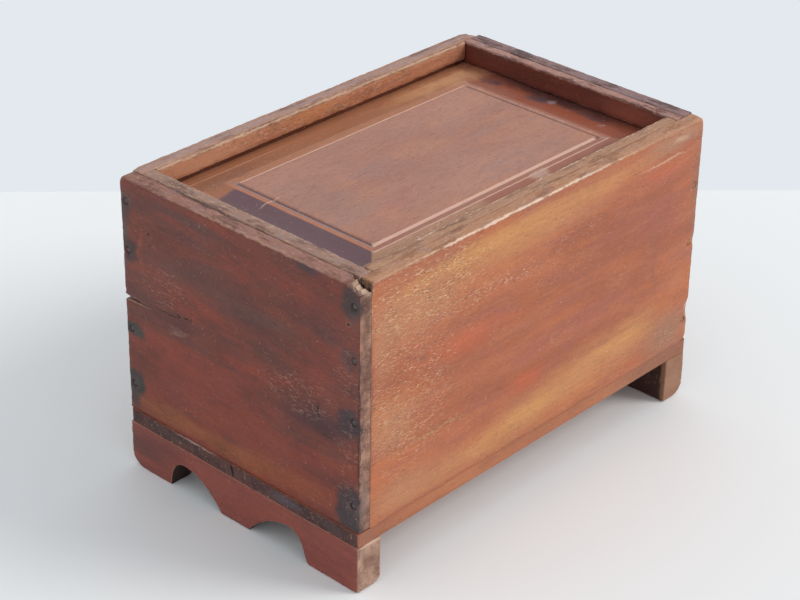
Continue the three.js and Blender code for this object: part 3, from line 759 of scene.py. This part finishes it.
# The near end's tones are darker than the far end's: partly its own wood, partly painted shade on this shaded
# side.
end_wood = wood(
    "near_end_wood", Y, X, ((101, 56, 48), (124, 59, 46), (138, 65, 47)), seed=3,
    warm=(148, 64, 40), cool=(97, 59, 56), grime=(86, 57, 55), edge=(194, 150, 128),
    end_tones=((112, 76, 64), (168, 126, 106)),
    warm_share=0.55, cool_share=0.6, grime_share=0.5, edge_share=0.5,
    rim=((114, 78, 68), (154, 110, 96), (198, 160, 142), (134, 112, 118)),
    spots=streaks(
        NEAR,
        ((94, 62, 56), 0.75, (30, 146, 66, 17), (-16, 142, 50, 9), (34, 178, 50, 5)),
        ((140, 64, 48), 0.65, (-56, 166, 42, 8), (-60, 122, 30, 14), (44, 88, 60, 14), (-20, 68, 76, 12),
              (30, 68, 50, 10)),
        ((90, 54, 52), 0.7, (-46, 94, 34, 12), (-66, 150, 16, 6)),
        ((150, 84, 48), 0.9, (52, 47, 56, 9), (0, 46, 60, 8)), ((146, 76, 50), 0.75, (-34, 50, 60, 10)),
        ((160, 78, 50), 0.5, (74, 148, 3, 16)), ((84, 74, 74), 0.8, (89, 150, 6, 38), (-88, 172, 7, 16)),
        ((146, 108, 90), 0.6, (45, 106, 9, 5))),
    stains=marked(
        NEAR, 8,
        (88, 168, 8, 15, (76, 61, 62), 0.75, 0.7), (85, 141.8, 9, 10, STAIN, 0.85, 0.7),
        (86, 92, 13, 6.2, (66, 62, 60), 0.95, 0.4), (86, 57, 9.5, 11, (62, 54, 54), 0.95, 0.4),
        (88, 48, 8, 10, (70, 58, 58), 0.85, 0.6), (-85, 177, 11, 13, (66, 54, 54), 0.9, 0.6),
        (-84, 143.3, 8, 7.4, (84, 60, 60), 0.75, 0.5), (-84, 104, 13, 12, (56, 47, 54), 0.95, 0.6),
        (-66, 97, 32, 15, (70, 44, 47), 0.8, 0.8), (-85, 50, 15, 20, (61, 52, 55), 0.95, 0.5),
    ) + (
        ((-138.8, -SIDE_Y, 162), (5, 5, 34), (102, 70, 56), 0.7, 0.9),
        ((-138.8, -SIDE_Y, 60), (5, 5, 28), (150, 124, 112), 0.5, 0.9),
    ),
    marks=marked(NEAR, 8, (-53, 184, 14, 3.6, (64, 54, 62), 0.75, 0.8)) + marked(
        NEAR, 4,
        # painted shade in holes and cracks
        (-61.4, 102.8, 0.6, 5.6, HOLE_SHADE, 0.95, 0.5), (-67, 89.6, 6, 0.7, HOLE_SHADE, 0.7, 0.7),
        (-83, 163.6, 2.4, 2.2, (150, 106, 84), 0.7, 0.6), (-83, 163.6, 1.5, 1.5, HOLE_SHADE, 0.95, 0.4),
        (69, 157.6, 1.0, 1.1, HOLE_SHADE, 0.95, 0.5), (68.1, 151.4, 0.9, 1.0, HOLE_SHADE, 0.95, 0.5),
        (56, 114, 18, 0.45, HOLE_SHADE, 0.9, 0.6), (46, 115.6, 1.9, 0.9, HOLE_SHADE, 0.9, 0.5),
        (41, 116.6, 2.1, 0.9, HOLE_SHADE, 0.9, 0.5), (36.5, 117.2, 1.5, 0.8, HOLE_SHADE, 0.8, 0.5),
    ) + (
        ((-136, -87, 184.5), (6, 8, 7), (206, 178, 154), 0.85, 0.6),
        ((-135.6, 25, RIM), (0.9, 44, 2), (52, 38, 38), 0.8, 0.6),
        # painted shade in the broken corner's cracks and joint, and in the gap at the rim's back corner
        ((-139.6, -86, 184), (0.6, 6, 4), HOLE_SHADE, 0.85, 0.6),
        ((-134.8, 88.5, RIM), (0.9, 5, 3), HOLE_SHADE, 0.85, 0.6),
        ((-134.4, -86, 184), (1.1, 9, 6), HOLE_SHADE, 0.9, 0.6),
        # painted shade along the near end's front arris
        ((-END_X, -SIDE_Y, 104), (1.3, 1.5, 80), (56, 32, 30), 0.75, 0.7),
        ((-END_INNER_X, -SIDE_Y, 104), (0.9, 1.5, 80), (92, 60, 48), 0.5, 0.8),
        line_of_wear_and_highlight((-END_X, -6, RIM - 0.6), (1.4, 92, 1.2), (206, 160, 136), 0.5),
    ),
    flaked=bared(NEAR, (-46, 108, 36, 16, 0.5), (45, 106, 11, 7, 0.4), (58, 130, 26, 22, 0.3),
                 (-84, 100, 9, 84, 0.4)) + (((-138.8, -SIDE_Y, 110), (5, 3, 90), 0.9),),
    flecks=0.2, scratches=0.45, stretch=5)
far_end_wood = wood(
    "far_end_wood", Y, X, ((118, 66, 52), (140, 82, 64), (154, 94, 72)), seed=4,
    warm=(160, 88, 56), cool=(118, 76, 70), grime=(104, 76, 70), edge=(180, 136, 112))
base_wood = wood(
    "base_wood", X, Z, ((132, 76, 56), (154, 90, 66), (166, 100, 72)), seed=5,
    warm=(176, 96, 70), cool=(140, 90, 78), grime=(116, 82, 72), edge=(206, 160, 132),
    end_tones=((64, 43, 43), (94, 61, 56)), grime_share=0.4, edge_share=0.25, flecks=0.15,
    spots=streaks(
        FRONT,
        ((178, 112, 76), 0.95, (-60, 34, 120, 14), (70, 34, 90, 14)),
        ((146, 94, 70), 0.9, (112, 34, 60, 14))),
    marks=(
        ((-137, -SIDE_Y, 34), (10, 3, 7), (146, 98, 78), 0.8, 0.8),
        ((-FOOT_OUTER_X, -36, 34), (4, 16, 4), (84, 80, 92), 0.7, 0.7),
        ((-FOOT_OUTER_X, 60, 34), (4, 20, 3), (84, 64, 62), 0.6, 0.7),
        ((-FOOT_OUTER_X, -72, 34), (4, 14, 4), (78, 60, 62), 0.7, 0.7),
        # painted shade in the hole in the base's near edge
        ((-FOOT_OUTER_X, 6, 35.4), (5, 1.6, 2.6), HOLE_SHADE, 0.95, 0.5),
        ((-FOOT_OUTER_X, 5.4, 32.4), (5, 1.2, 3.4), HOLE_SHADE, 0.95, 0.5),
        line_of_wear_and_highlight((-FOOT_OUTER_X, 36, BASE_HIGH - 0.4), (1.6, 22, 1), (190, 160, 150), 0.6),
    ))
foot_wood = wood(
    "foot_wood", Y, X, ((116, 60, 54), (138, 70, 59), (150, 76, 61)), seed=6,
    warm=(158, 76, 60), cool=(112, 76, 74), grime=(104, 72, 68), edge=(200, 156, 132),
    end_tones=((134, 100, 84), (182, 146, 126)), warm_share=0.55, edge_share=0.32,
    # painted shade on the far foot's inner face, under the chest
    spots=(((FOOT_INNER_X, 0, 14), (4.5, ALL, ALL), (46, 26, 20), 0.95, 0.4),) + streaks(
        NEAR,
        ((98, 58, 52), 0.7, (76, 14, 26, 12)), ((152, 78, 64), 0.6, (20, 20, 30, 9), (-46, 20, 26, 7))),
    marks=(((136, -SIDE_Y, 14), (24, 5, 30), (148, 104, 78), 0.75, 0.3),
           ((-134, -SIDE_Y, 28.6), (12, 4, 1.4), (216, 188, 166), 0.6, 0.7)),
    # The arch paint is partly the dark sawn wood and partly painted shade under the chest.
    paints=(("arch", (40, 24, 20), 0.95),), flecks=0.2, scratches=0.15)
strip_wood = wood(
    "strip_wood", X, Y, ((162, 104, 78), (186, 124, 94), (204, 146, 110)), seed=7,
    warm=(192, 126, 70), cool=(140, 92, 76), grime=(118, 80, 64), edge=(226, 190, 160),
    end_tones=((104, 74, 58), (146, 112, 90)), edge_share=0.3,
    rim=((136, 98, 78), (172, 130, 104), (212, 178, 150), (148, 126, 120)),
    marks=(
        ((-92, 79.7, 180), (56, 5, 9), (220, 168, 134), 0.35, 0.9),
        line_of_wear_and_highlight((0, -LINING_Y + FRONT_STRIP_WIDTH, RIM - 0.3), (ALL, 1.3, 1.2)),
        line_of_wear_and_highlight((0, LINING_Y - BACK_STRIP_WIDTH, RIM - 0.3), (ALL, 1.2, 1.1), (222, 186, 158), 0.5),
    ),
    flaked=(((-50, 79.7, 182), (60, 6, 8), 0.7), ((40, 79.7, 182), (100, 6, 8), 0.4)),
    grime_share=0.55, pores=0.5, flecks=0.35, scratches=0.8)
cross_strip_wood = wood(
    "cross_strip_wood", Y, X, ((128, 88, 68), (150, 108, 84), (164, 122, 96)), seed=8,
    warm=(172, 120, 86), cool=(128, 100, 94), grime=(116, 90, 82), edge=(216, 182, 156),
    end_tones=((104, 76, 62), (146, 114, 94)), edge_share=0.3,
    rim=((118, 88, 78), (158, 124, 108), (206, 172, 154), (138, 122, 128)),
    marks=(line_of_wear_and_highlight((NEAR_STRIP_X, 0, RIM - 0.3), (1.3, ALL, 1.2), (214, 184, 162), 0.5),), flecks=0.5)
head_strip_wood = wood(
    "head_strip_wood", Y, X, ((96, 46, 36), (112, 56, 44), (124, 64, 48)), seed=9,
    warm=(126, 62, 42), cool=(92, 50, 46), grime=(84, 50, 46), edge=(192, 140, 122), edge_share=0.4,
    rim=((112, 74, 66), (172, 130, 118), (214, 182, 170), (150, 132, 138)), flecks=0.15,
    spots=(((HEAD_STRIP_X, -52, 180), (8, 44, 12), (154, 88, 70), 0.75, 0.9),))
rail_wood = wood(
    "head_rail_wood", Y, X, ((118, 74, 66), (136, 86, 74), (150, 98, 82)), seed=10,
    warm=(156, 86, 66), cool=(118, 86, 86), grime=(110, 88, 92), edge=(186, 142, 126), edge_share=0.5,
    grime_share=0.6,
    rim=((92, 72, 72), (142, 112, 110), (182, 156, 152), (132, 124, 136)))
lid_wood = wood(
    "lid_wood", X, Z, ((163, 112, 96), (171, 121, 104), (178, 128, 108)), seed=11,
    warm=(190, 126, 92), cool=(150, 116, 112), grime=(150, 118, 110), edge=(222, 188, 168),
    cool_share=0.4, grime_share=0.3, edge_share=0.3,
    spots=(((64, 67, 174), (44, 12, 6), (196, 142, 92), 0.7, 0.9),
           ((-74, 0, 177), (26, 60, 8), (154, 114, 102), 0.6, 0.9),
           ((10, 12, 177), (34, 20, 8), (186, 130, 102), 0.5, 0.9),
           ((-40, -24, 177), (26, 14, 8), (178, 112, 98), 0.5, 0.9)),
    stains=(
        ((-90, 66, 174), (60, 14, 6), (132, 90, 72), 0.65, 0.9),
        ((92, 66, 174), (64, 16, 6), (206, 156, 116), 0.8, 0.9),
        ((106, 42, 175), (6, 34, 6), (148, 98, 84), 0.6, 0.8),
        ((112, -16, 174), (6, 42, 6), (152, 74, 46), 0.75, 0.8),
        # painted shadow of the head strip across the far margin
        ((126, 0, 173), (9, 84, 6), (66, 44, 46), 0.8, 0.8),
        ((116, 48, 174), (7, 13, 6), (84, 66, 70), 0.8, 0.8),
        ((117, 12, 174), (8, 13, 6), (82, 66, 72), 0.85, 0.7),
        ((119, -27, 174), (6, 18, 6), (92, 68, 70), 0.7, 0.8),
        ((120, 3, 173), (5, 4, 6), (164, 142, 148), 0.7, 0.6),
        ((114, -40, 174), (4, 3, 6), (176, 142, 134), 0.6, 0.6),
        ((36, -57, 175), (11, 5, 6), (204, 172, 158), 0.6, 0.7),
        ((92, -64, 174), (60, 11, 6), (126, 80, 66), 0.65, 0.9),
    ),
    marks=(
        ((-94, 24, 176), (12, 0.7, 6), (214, 178, 158), 0.6, 0.6),
    ),
    # The near cove's dark purple is painted shade.
    paints=(("near_cove", (98, 74, 84), 0.9), ("far_cove", (146, 76, 55), 0.88),
            ("back_cove", (164, 104, 70), 0.8), ("front_cove", (170, 128, 102), 0.85),
            ("front_end", (156, 98, 78), 0.8), ("warm_fillet", (176, 108, 76), 0.85),
            ("cold_fillet", (134, 114, 116), 0.8),
            # The bright line paint is a worn edge with a painted highlight on it.
            ("bright_line", (224, 186, 168), 0.7), ("groove", (88, 62, 68), 0.8)),
    flaked=(((-60, -63, 174), (72, 11, 8), 0.8), ((-60, 62, 174), (70, 10, 8), 0.3)),
    flecks=0.12, scratches=0.3, rough=0.42, stretch=3, fibre=0.035)
iron = rusted_iron("rusted_iron", (70, 60, 61), (104, 92, 90))
grimed_iron = rusted_iron("grimed_iron", (140, 96, 74), (172, 122, 92))


# Carcass
def pockets_at(places, radius=HEAD_POCKET):
    """Pockets for nail heads, given as (centre, radius, depth)."""
    return tuple((place, radius, POCKET_DEPTH) for place in places)


def below(across, up):
    """A test for the points of an outline that lie below either limit."""
    return lambda loop: (loop[:, 0] < across) | (loop[:, 1] < up)


def broken_corner(loop):
    """The near end board's points that keep a crisp edge: its front and lower edges and its broken corner."""
    return below(-SIDE_Y + 0.5, WALL_LOW + 1)(loop) | ((loop[:, 0] < BREAK_Y) & (loop[:, 1] > RIM - 6))


board("worn_front_side", "front_side_board", (X, Z, Y),
      rounded([(-END_INNER_X, BASE_HIGH, 0.9), (END_X, BASE_HIGH, 1.2), (END_X, RIM, 2.8),
               (-133.2, RIM, 0.6), (-133.3, RIM - 1.6, 0), (-134, RIM - 3.4, 0), (-133.7, RIM - 5, 0),
               (-END_INNER_X, RIM - 8, 0)]),
      -SIDE_Y, -SIDE_INNER_Y, "carcass", "side_wood", front_wood, seed=11,
      pockets=(pockets_at([(END_MID_X, z) for z in FAR_NAIL_Z]), ()),
      tight=below(-LINING_X + 0.5, WALL_LOW + 1),
      dents=(((END_X, -SIDE_Y, 107), (4, 5, 4), 0.9), ((END_X, -SIDE_Y, 60), (5, 6, 8), 1.3),
             ((END_X, -SIDE_Y, 38), (4, 5, 5), 1.0), ((END_X, -SIDE_Y, 186), (5, 6, 5), 0.7)))
board("worn_back_side", "back_side_board", (X, Z, Y),
      rounded([(-LINING_X, WALL_LOW, 0.9), (END_X, WALL_LOW, 1.2), (END_X, RIM, 4.6), (-LINING_X, RIM, 1)]),
      SIDE_INNER_Y, SIDE_Y, "carcass", "side_wood", back_wood, seed=12, edge=0.9, worn=1.1,
      pockets=((), pockets_at([(END_MID_X, z) for z in FAR_NAIL_Z])),
      dents=(((END_X, SIDE_Y, 186), (9, 9, 7), 1.4), ((-LINING_X, SIDE_Y, 188), (3.4, 5, 4), 1.2)))
board("worn_near_end", "near_end_board", (Y, Z, X),
      rounded([(-SIDE_Y, WALL_LOW, 1.2), (SIDE_Y, WALL_LOW, 1.4),
               (SIDE_Y, 109.7, 0.7), (86, 110.5, 0), (81, 110.9, 0), (76, 111.05, 0), (70, 111.15, 0),
               (76, 111.45, 0), (81, 111.7, 0), (86, 112.05, 0), (SIDE_Y, 112.8, 0.7),
               (SIDE_Y, RIM, 4.6), (-78, RIM, 1), (-80, RIM - 2.1, 0), (-81.4, RIM - 1.1, 0),
               (-82.8, RIM - 3.6, 0), (-84.4, RIM - 2.5, 0), (-86, RIM - 4.9, 0), (-87.4, RIM - 3.8, 0),
               (-89.2, RIM - 5.6, 0), (-SIDE_Y, RIM - 5.2, 0)], 22),
      -END_X, -END_INNER_X, "carcass", "end_wood", end_wood, seed=13, edge=0.9, worn=1.0, spacing=(2.6, 4),
      pockets=(pockets_at([(SIDE_MID_Y, z) for z in NEAR_BACK_NAIL_Z]
                          + [(-SIDE_MID_Y, z) for z in NEAR_FRONT_NAIL_Z]), ()), tight=broken_corner,
      dents=(((-134.6, -87, 186), (1.8, 5, 5), 2.2), ((-139.4, -84, 186), (1.1, 7, 5), 1.6)))
board("worn_far_end", "far_end_board", (Y, Z, X),
      plank((-LINING_Y, WALL_LOW), (LINING_Y, RUNNER_HIGH)),
      END_INNER_X, END_X, "carcass", "end_wood", far_end_wood, seed=14, spacing=(4, 3.2))
board("worn_base", "base_board", (X, Y, Z),
      plank((-FOOT_OUTER_X, -SIDE_Y), (FOOT_OUTER_X, SIDE_Y), (1.2, 1.6, 1.6, 3)),
      BASE_LOW, BASE_HIGH, "carcass", "base_wood", base_wood, seed=15, edge=0.9, spacing=(4, 4),
      tight=below(-FOOT_OUTER_X + 1, -SIDE_Y + 1),
      pockets=(pockets_at([(x, side * SIDE_MID_Y) for x in BASE_NAIL_X for side in (-1, 1)]),
               pockets_at([(side * FOOT_NAIL_X, y) for y in FOOT_NAIL_Y for side in (-1, 1)])))


def foot_outline():
    """Feet at the ends and a pendant between two arches, which spring steeply from the feet."""
    pendant, front, back = (PENDANT_LOW_Y, PENDANT_HIGH_Y), FRONT_FOOT_EDGE, BACK_FOOT_EDGE

    def arch(foot, tip):
        def place(across, up):
            return foot + across * (tip - foot), up * ARCH_HEIGHT

        crown = place(0.28, 1)
        rise = bezier(place(0, 0), place(0.02, 0.45), place(0.08, 1), crown)
        fall = bezier(crown, place(0.55, 1), place(0.8, 0.62), place(1, 0))
        return [(*point, 0) for point in [*rise, *fall[1:]]]

    front_arch = [(a, b, radius) for a, b, radius in arch(front, pendant[0]) if b > 4.2 or a > front + 10]
    toe = [(front - 3.6, 0, 0), (front - 2.0, 0.55, 0), (front - 0.8, 1.7, 0), (front - 0.2, 3, 0)]
    corners = [(-SIDE_Y, 0.9, 0), (-SIDE_Y + 2.5, 0.1, 0), *toe, *front_arch, *arch(back, pendant[1])[::-1]]
    corners += [(SIDE_Y, 0, 9), (SIDE_Y, FOOT_TOP, 1), (-SIDE_Y, FOOT_TOP, 1)]
    return rounded(corners, 20)


def under_the_arches(loop):
    """The foot boards' sawn edges between the feet, painted dark: partly the dark unpolished sawn wood,
    partly painted shade under the chest.
    """
    between = (loop[:, 0] > FRONT_FOOT_EDGE - 5) & (loop[:, 0] < BACK_FOOT_EDGE + 1)
    return between & (loop[:, 1] < ARCH_HEIGHT + 1)


for name, node, end, toe in (
    ("worn_near_foot", "near_foot_board", -1, (-FOOT_INNER_X, 5.2)),
    ("worn_far_foot", "far_foot_board", 1, (FOOT_OUTER_X, 9.3)),
):
    faces = sorted((end * FOOT_INNER_X, end * FOOT_OUTER_X))
    board(name, node, (Y, Z, X), foot_outline(), *faces, "carcass", "foot_wood", foot_wood, seed=16 + end,
          toe=toe, painted=("arch", under_the_arches))

board("worn_near_strip", "near_guide_strip", (Y, Z, X), plank((-LINING_Y, STRIP_LOW), (LINING_Y, RIM)),
      -LINING_X, NEAR_STRIP_X, "carcass", "strip_wood", cross_strip_wood, seed=21, worn=1.2)
board("worn_front_strip", "front_guide_strip", (X, Z, Y),
      plank((NEAR_STRIP_X + JOINT_GAP, STRIP_LOW), (HEAD_STRIP_X - SLIDE_GAP, RIM)),
      -LINING_Y, -LINING_Y + FRONT_STRIP_WIDTH, "carcass", "strip_wood", strip_wood, seed=22, worn=1.2)
board("worn_back_strip", "back_guide_strip", (X, Z, Y),
      plank((NEAR_STRIP_X + JOINT_GAP, STRIP_LOW), (HEAD_STRIP_X - SLIDE_GAP, RIM)),
      LINING_Y - BACK_STRIP_WIDTH, LINING_Y, "carcass", "strip_wood", strip_wood, seed=23, edge=0.6)
board("worn_near_runner", "near_lid_runner", (Y, Z, X),
      plank((-LINING_Y, RUNNER_LOW), (LINING_Y, RUNNER_HIGH)),
      -LINING_X, -LINING_X + RUNNER_WIDTH, "carcass", "strip_wood", cross_strip_wood, seed=24, spacing=(4, 4))
for side, name in ((-1, "front"), (1, "back")):
    faces = sorted((side * LINING_Y, side * (LINING_Y - RUNNER_WIDTH)))
    board(f"worn_{name}_runner", f"{name}_lid_runner", (X, Z, Y),
          plank((-LINING_X + RUNNER_WIDTH + JOINT_GAP, RUNNER_LOW), (LINING_X, RUNNER_HIGH)),
          *faces, "carcass", "strip_wood", strip_wood, seed=26 + side, spacing=(4, 4))


# Lid
def fielded_panel():
    """The raised field, its quirk and fillet, the cove and the tongue, as rings from the underside up."""
    quirk, fillet, cove = 1.8, 4.8, 14.0
    ledge = quirk + fillet
    fillet_drop, cove_drop, quirk_drop = 0.3, 2.3, 0.85
    cove_steps = 12
    sides, spans = ("front", "far", "back", "near"), (56, 34, 56, 34)
    bottom_spacing, field_spacing, ripple = 5, 2.6, 0.14

    def ring(low_x, high_x, low_y, high_y):
        corners = np.array([(low_x, low_y), (high_x, low_y), (high_x, high_y), (low_x, high_y)])
        turns = zip(corners, np.roll(corners, -1, axis=0), spans)
        return np.array([start + (end - start) * k / count
                         for start, end, count in turns for k in range(count)])

    def round_field(out):
        return ring(FIELD_LOW_X - out, FIELD_HIGH_X + out, FIELD_LOW_Y - out, FIELD_HIGH_Y + out)

    def round_panel(inset):
        return ring(PANEL_LOW_X + inset, PANEL_HIGH_X - inset, -PANEL_HALF_Y + inset, PANEL_HALF_Y - inset)

    def faded(value, middle, reach):
        return float(np.clip((value - middle) / reach + 0.5, 0, 1))

    def coves(side, x, y):
        """The near cove's dark tone, which is painted shade, stops short of its back mitre, the front one is
        bare to mid length.
        """
        if side == "near":
            past = faded(y, FIELD_HIGH_Y - 2, 9)
            return {"near_cove": 1 - past, "back_cove": past}
        if side == "front":
            past = faded(x, -12, 24)
            return {"front_cove": 1 - past, "front_end": past}
        return {f"{side}_cove": 1.0}

    def lip(side, x, y):
        """The back cove's worn outer edge with a painted highlight on it, strongest at its near end."""
        return coves(side, x, y) | ({"bright_line": 1 - faded(x, -30, 90)} if side == "back" else {})

    outer_fillet = {"back": {"back_cove": 1.0}, "near": {"warm_fillet": 1.0}, "front": {"front_end": 0.7},
                    "far": {"far_cove": 0.6}}
    inner_fillet = {"back": {"back_cove": 0.8}, "near": {"cold_fillet": 1.0}, "front": {"front_end": 0.7}}
    fillet_edge = outer_fillet | {"front": {"front_end": 0.7, "bright_line": 0.8}}
    # Bright lines: worn edges with a painted highlight, and painted highlight alone on the quirk's front and
    # back flanks.
    bright, field_bright, groove = {"bright_line": 0.75}, {"bright_line": 0.8}, {"groove": 1.0}
    quirk_line = {"near": groove, "far": groove, "front": bright, "back": bright}
    field_line = {"front": field_bright, "back": field_bright}

    levels = [
        (round_panel(0.7), LID_LOW, -1, 0.3, None),
        (round_panel(0.15), LID_LOW + 0.25, -0.5, 0.8, None),
        (round_panel(0), LID_LOW + 0.8, 0, 0.5, None),
        (round_panel(0), TONGUE_TOP - 0.8, 0, 0.5, None),
        (round_panel(0.2), TONGUE_TOP - 0.2, 0.5, 0.8, coves),
        (round_panel(0.8), TONGUE_TOP, 1, 0.3, coves),
        (round_field(ledge + cove + 2.5), TONGUE_TOP, 1, 0.1, coves),
        (round_field(ledge + cove + 0.6), TONGUE_TOP, 1, 0.3, coves),
    ]
    for step in range(cove_steps + 1):
        share = 1 - step / cove_steps
        level = FIELD_TOP - fillet_drop - cove_drop * math.sin(share * math.pi / 2)
        wear, tone = (0.15, coves) if step else (0.7, lip)
        levels.append((round_field(ledge + cove * share), level, 1, wear, tone))
    levels += [
        (round_field(ledge - 0.5), FIELD_TOP - fillet_drop + 0.12, 1, 1.0, fillet_edge),
        (round_field(ledge - 2.1), FIELD_TOP - fillet_drop + 0.1, 1, 0.5, outer_fillet),
        (round_field(quirk + 0.7), FIELD_TOP - fillet_drop + 0.05, 1, 0.6, inner_fillet),
        (round_field(quirk), FIELD_TOP - fillet_drop - 0.2, 1, 0.4, inner_fillet),
        (round_field(quirk * 0.72), FIELD_TOP - quirk_drop, 1, 0, quirk_line),
        (round_field(quirk * 0.35), FIELD_TOP - quirk_drop, 1, 0, quirk_line),
        (round_field(0.1), FIELD_TOP - 0.4, 1, 0.3, field_line),
        (round_field(-0.25), FIELD_TOP - 0.08, 1, 0.6, field_line),
        (round_field(-0.8), FIELD_TOP, 1, 0.3, None),
    ]
    skin = Skin()
    starts = []
    for loop, level, facing, wear, tone in levels:
        unit, _ = outward_of(loop)
        normal = np.column_stack([unit * math.sqrt(1 - facing * facing), np.full(len(loop), float(facing))])
        start = skin.add(np.column_stack([loop, np.full(len(loop), level)]), normal, wear)
        names = [side for side, span in zip(sides, spans) for _ in range(span)]
        for k, (x, y) in enumerate(loop if tone else ()):
            painted = tone(names[k], x, y) if callable(tone) else tone.get(names[k], {})
            for name, value in painted.items():
                skin.paint(name, {start + k: value})
        starts.append(start)
    for first, second in zip(starts, starts[1:]):
        skin.band(first, second, len(loop))
    skin.cap(starts[0], levels[0][0], LID_LOW, -1, bottom_spacing, (), 41)
    skin.cap(starts[-1], levels[-1][0], FIELD_TOP, 1, field_spacing, (), 42)
    finish_piece("worn_lid_panel", skin, (X, Y, Z), ("lid_panel",), "lid", lid_wood, 40,
                 ripple, ())


fielded_panel()
board("worn_head_rail", "lid_head_rail", (Y, Z, X), plank((-HEAD_HALF_Y, LID_LOW), (HEAD_HALF_Y, RIM)),
      END_INNER_X, END_X, "lid", "end_wood", rail_wood, seed=31, worn=1.2,
      pockets=((), pockets_at([(y, RAIL_NAIL_Z) for y in RAIL_NAIL_Y], BRAD_POCKET)))
board("worn_head_strip", "lid_head_strip", (Y, Z, X),
      plank((-HEAD_HALF_Y, TONGUE_TOP + JOINT_GAP), (HEAD_HALF_Y, RIM)),
      HEAD_STRIP_X, LINING_X, "lid", "strip_wood", head_strip_wood, seed=32, worn=1.1)

for name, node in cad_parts.items():
    if "nail" in name:
        node.data.materials.clear()
        node.data.materials.append(grimed_iron if "far_end_nail_front" in name else iron)


# Floor, light and camera
def floor():
    """A pale table top, whose far edge runs where the photograph shows it."""
    edge_left, edge_right = Vector((19, 425)), Vector((430, 15))
    beyond, reach = 2500, 4000
    line = (edge_right - edge_left).normalized()
    near = Vector((line.y, -line.x))
    left, right = edge_left - line * beyond, edge_right + line * beyond
    corners = [left, right, right + near * reach, left + near * reach]
    mesh = bpy.data.meshes.new("floor")
    mesh.from_pydata([(corner.x * MM, corner.y * MM, 0) for corner in corners], [], [(0, 3, 2, 1)])
    paint = Nodes("pale_floor")
    paint.fed(paint.shader, {"Base Color": (240, 242, 243), "Roughness": 0.8})
    mesh.materials.append(paint.material)
    table = put("floor", mesh)


def light():
    """Soft daylight all round, seen as the pale wall, and a broad low sun from the left."""
    scene = bpy.context.scene
    scene.world = bpy.data.worlds.new("soft_daylight")
    scene.world.use_nodes = True
    tree = scene.world.node_tree
    seen, lit = tree.nodes["Background"], tree.nodes.new("ShaderNodeBackground")
    seen.inputs["Color"].default_value = srgb(227, 233, 238)
    lit.inputs["Color"].default_value = (0.93, 0.97, 1.0, 1.0)
    lit.inputs["Strength"].default_value = 0.78
    path, choose = tree.nodes.new("ShaderNodeLightPath"), tree.nodes.new("ShaderNodeMixShader")
    tree.links.new(path.outputs["Is Camera Ray"], choose.inputs[0])
    tree.links.new(lit.outputs[0], choose.inputs[1])
    tree.links.new(seen.outputs[0], choose.inputs[2])
    tree.links.new(choose.outputs[0], tree.nodes["World Output"].inputs["Surface"])
    lamp = bpy.data.lights.new("window_light", "SUN")
    lamp.energy, lamp.angle, lamp.color = 1.45, math.radians(28), (1.0, 0.97, 0.93)
    window = put("window_light", lamp)
    window.rotation_mode = "QUATERNION"
    window.rotation_quaternion = Vector((0.55, -0.68, 0.6)).to_track_quat("Z", "Y")


def camera():
    """The photograph's view, from a camera fitted to the chest's corners."""
    turn, rise, roll = math.radians(-47.37), math.radians(29.51), math.radians(0.96)
    place = Vector((-825.4, -745.9, 716.4)) * MM
    lens_pixels, image_width_pixels = 2197.2, 800
    back = Vector((math.sin(turn) * math.cos(rise), -math.cos(turn) * math.cos(rise), math.sin(rise)))
    right = (-back).cross(Vector((0, 0, 1))).normalized()
    up = right.cross(-back)
    tilted_right = right * math.cos(roll) + up * math.sin(roll)
    tilted_up = -right * math.sin(roll) + up * math.cos(roll)
    data = bpy.data.cameras.new("camera")
    data.sensor_width = 36
    data.lens = lens_pixels * data.sensor_width / image_width_pixels
    data.clip_start, data.clip_end = 0.01, 20
    view = put("camera", data)
    turned = Matrix((tilted_right, tilted_up, back)).transposed().to_4x4()
    view.matrix_world = Matrix.Translation(place) @ turned
    bpy.context.scene.camera = view


floor()
light()
camera()
bpy.context.scene.view_settings.view_transform = "Standard"
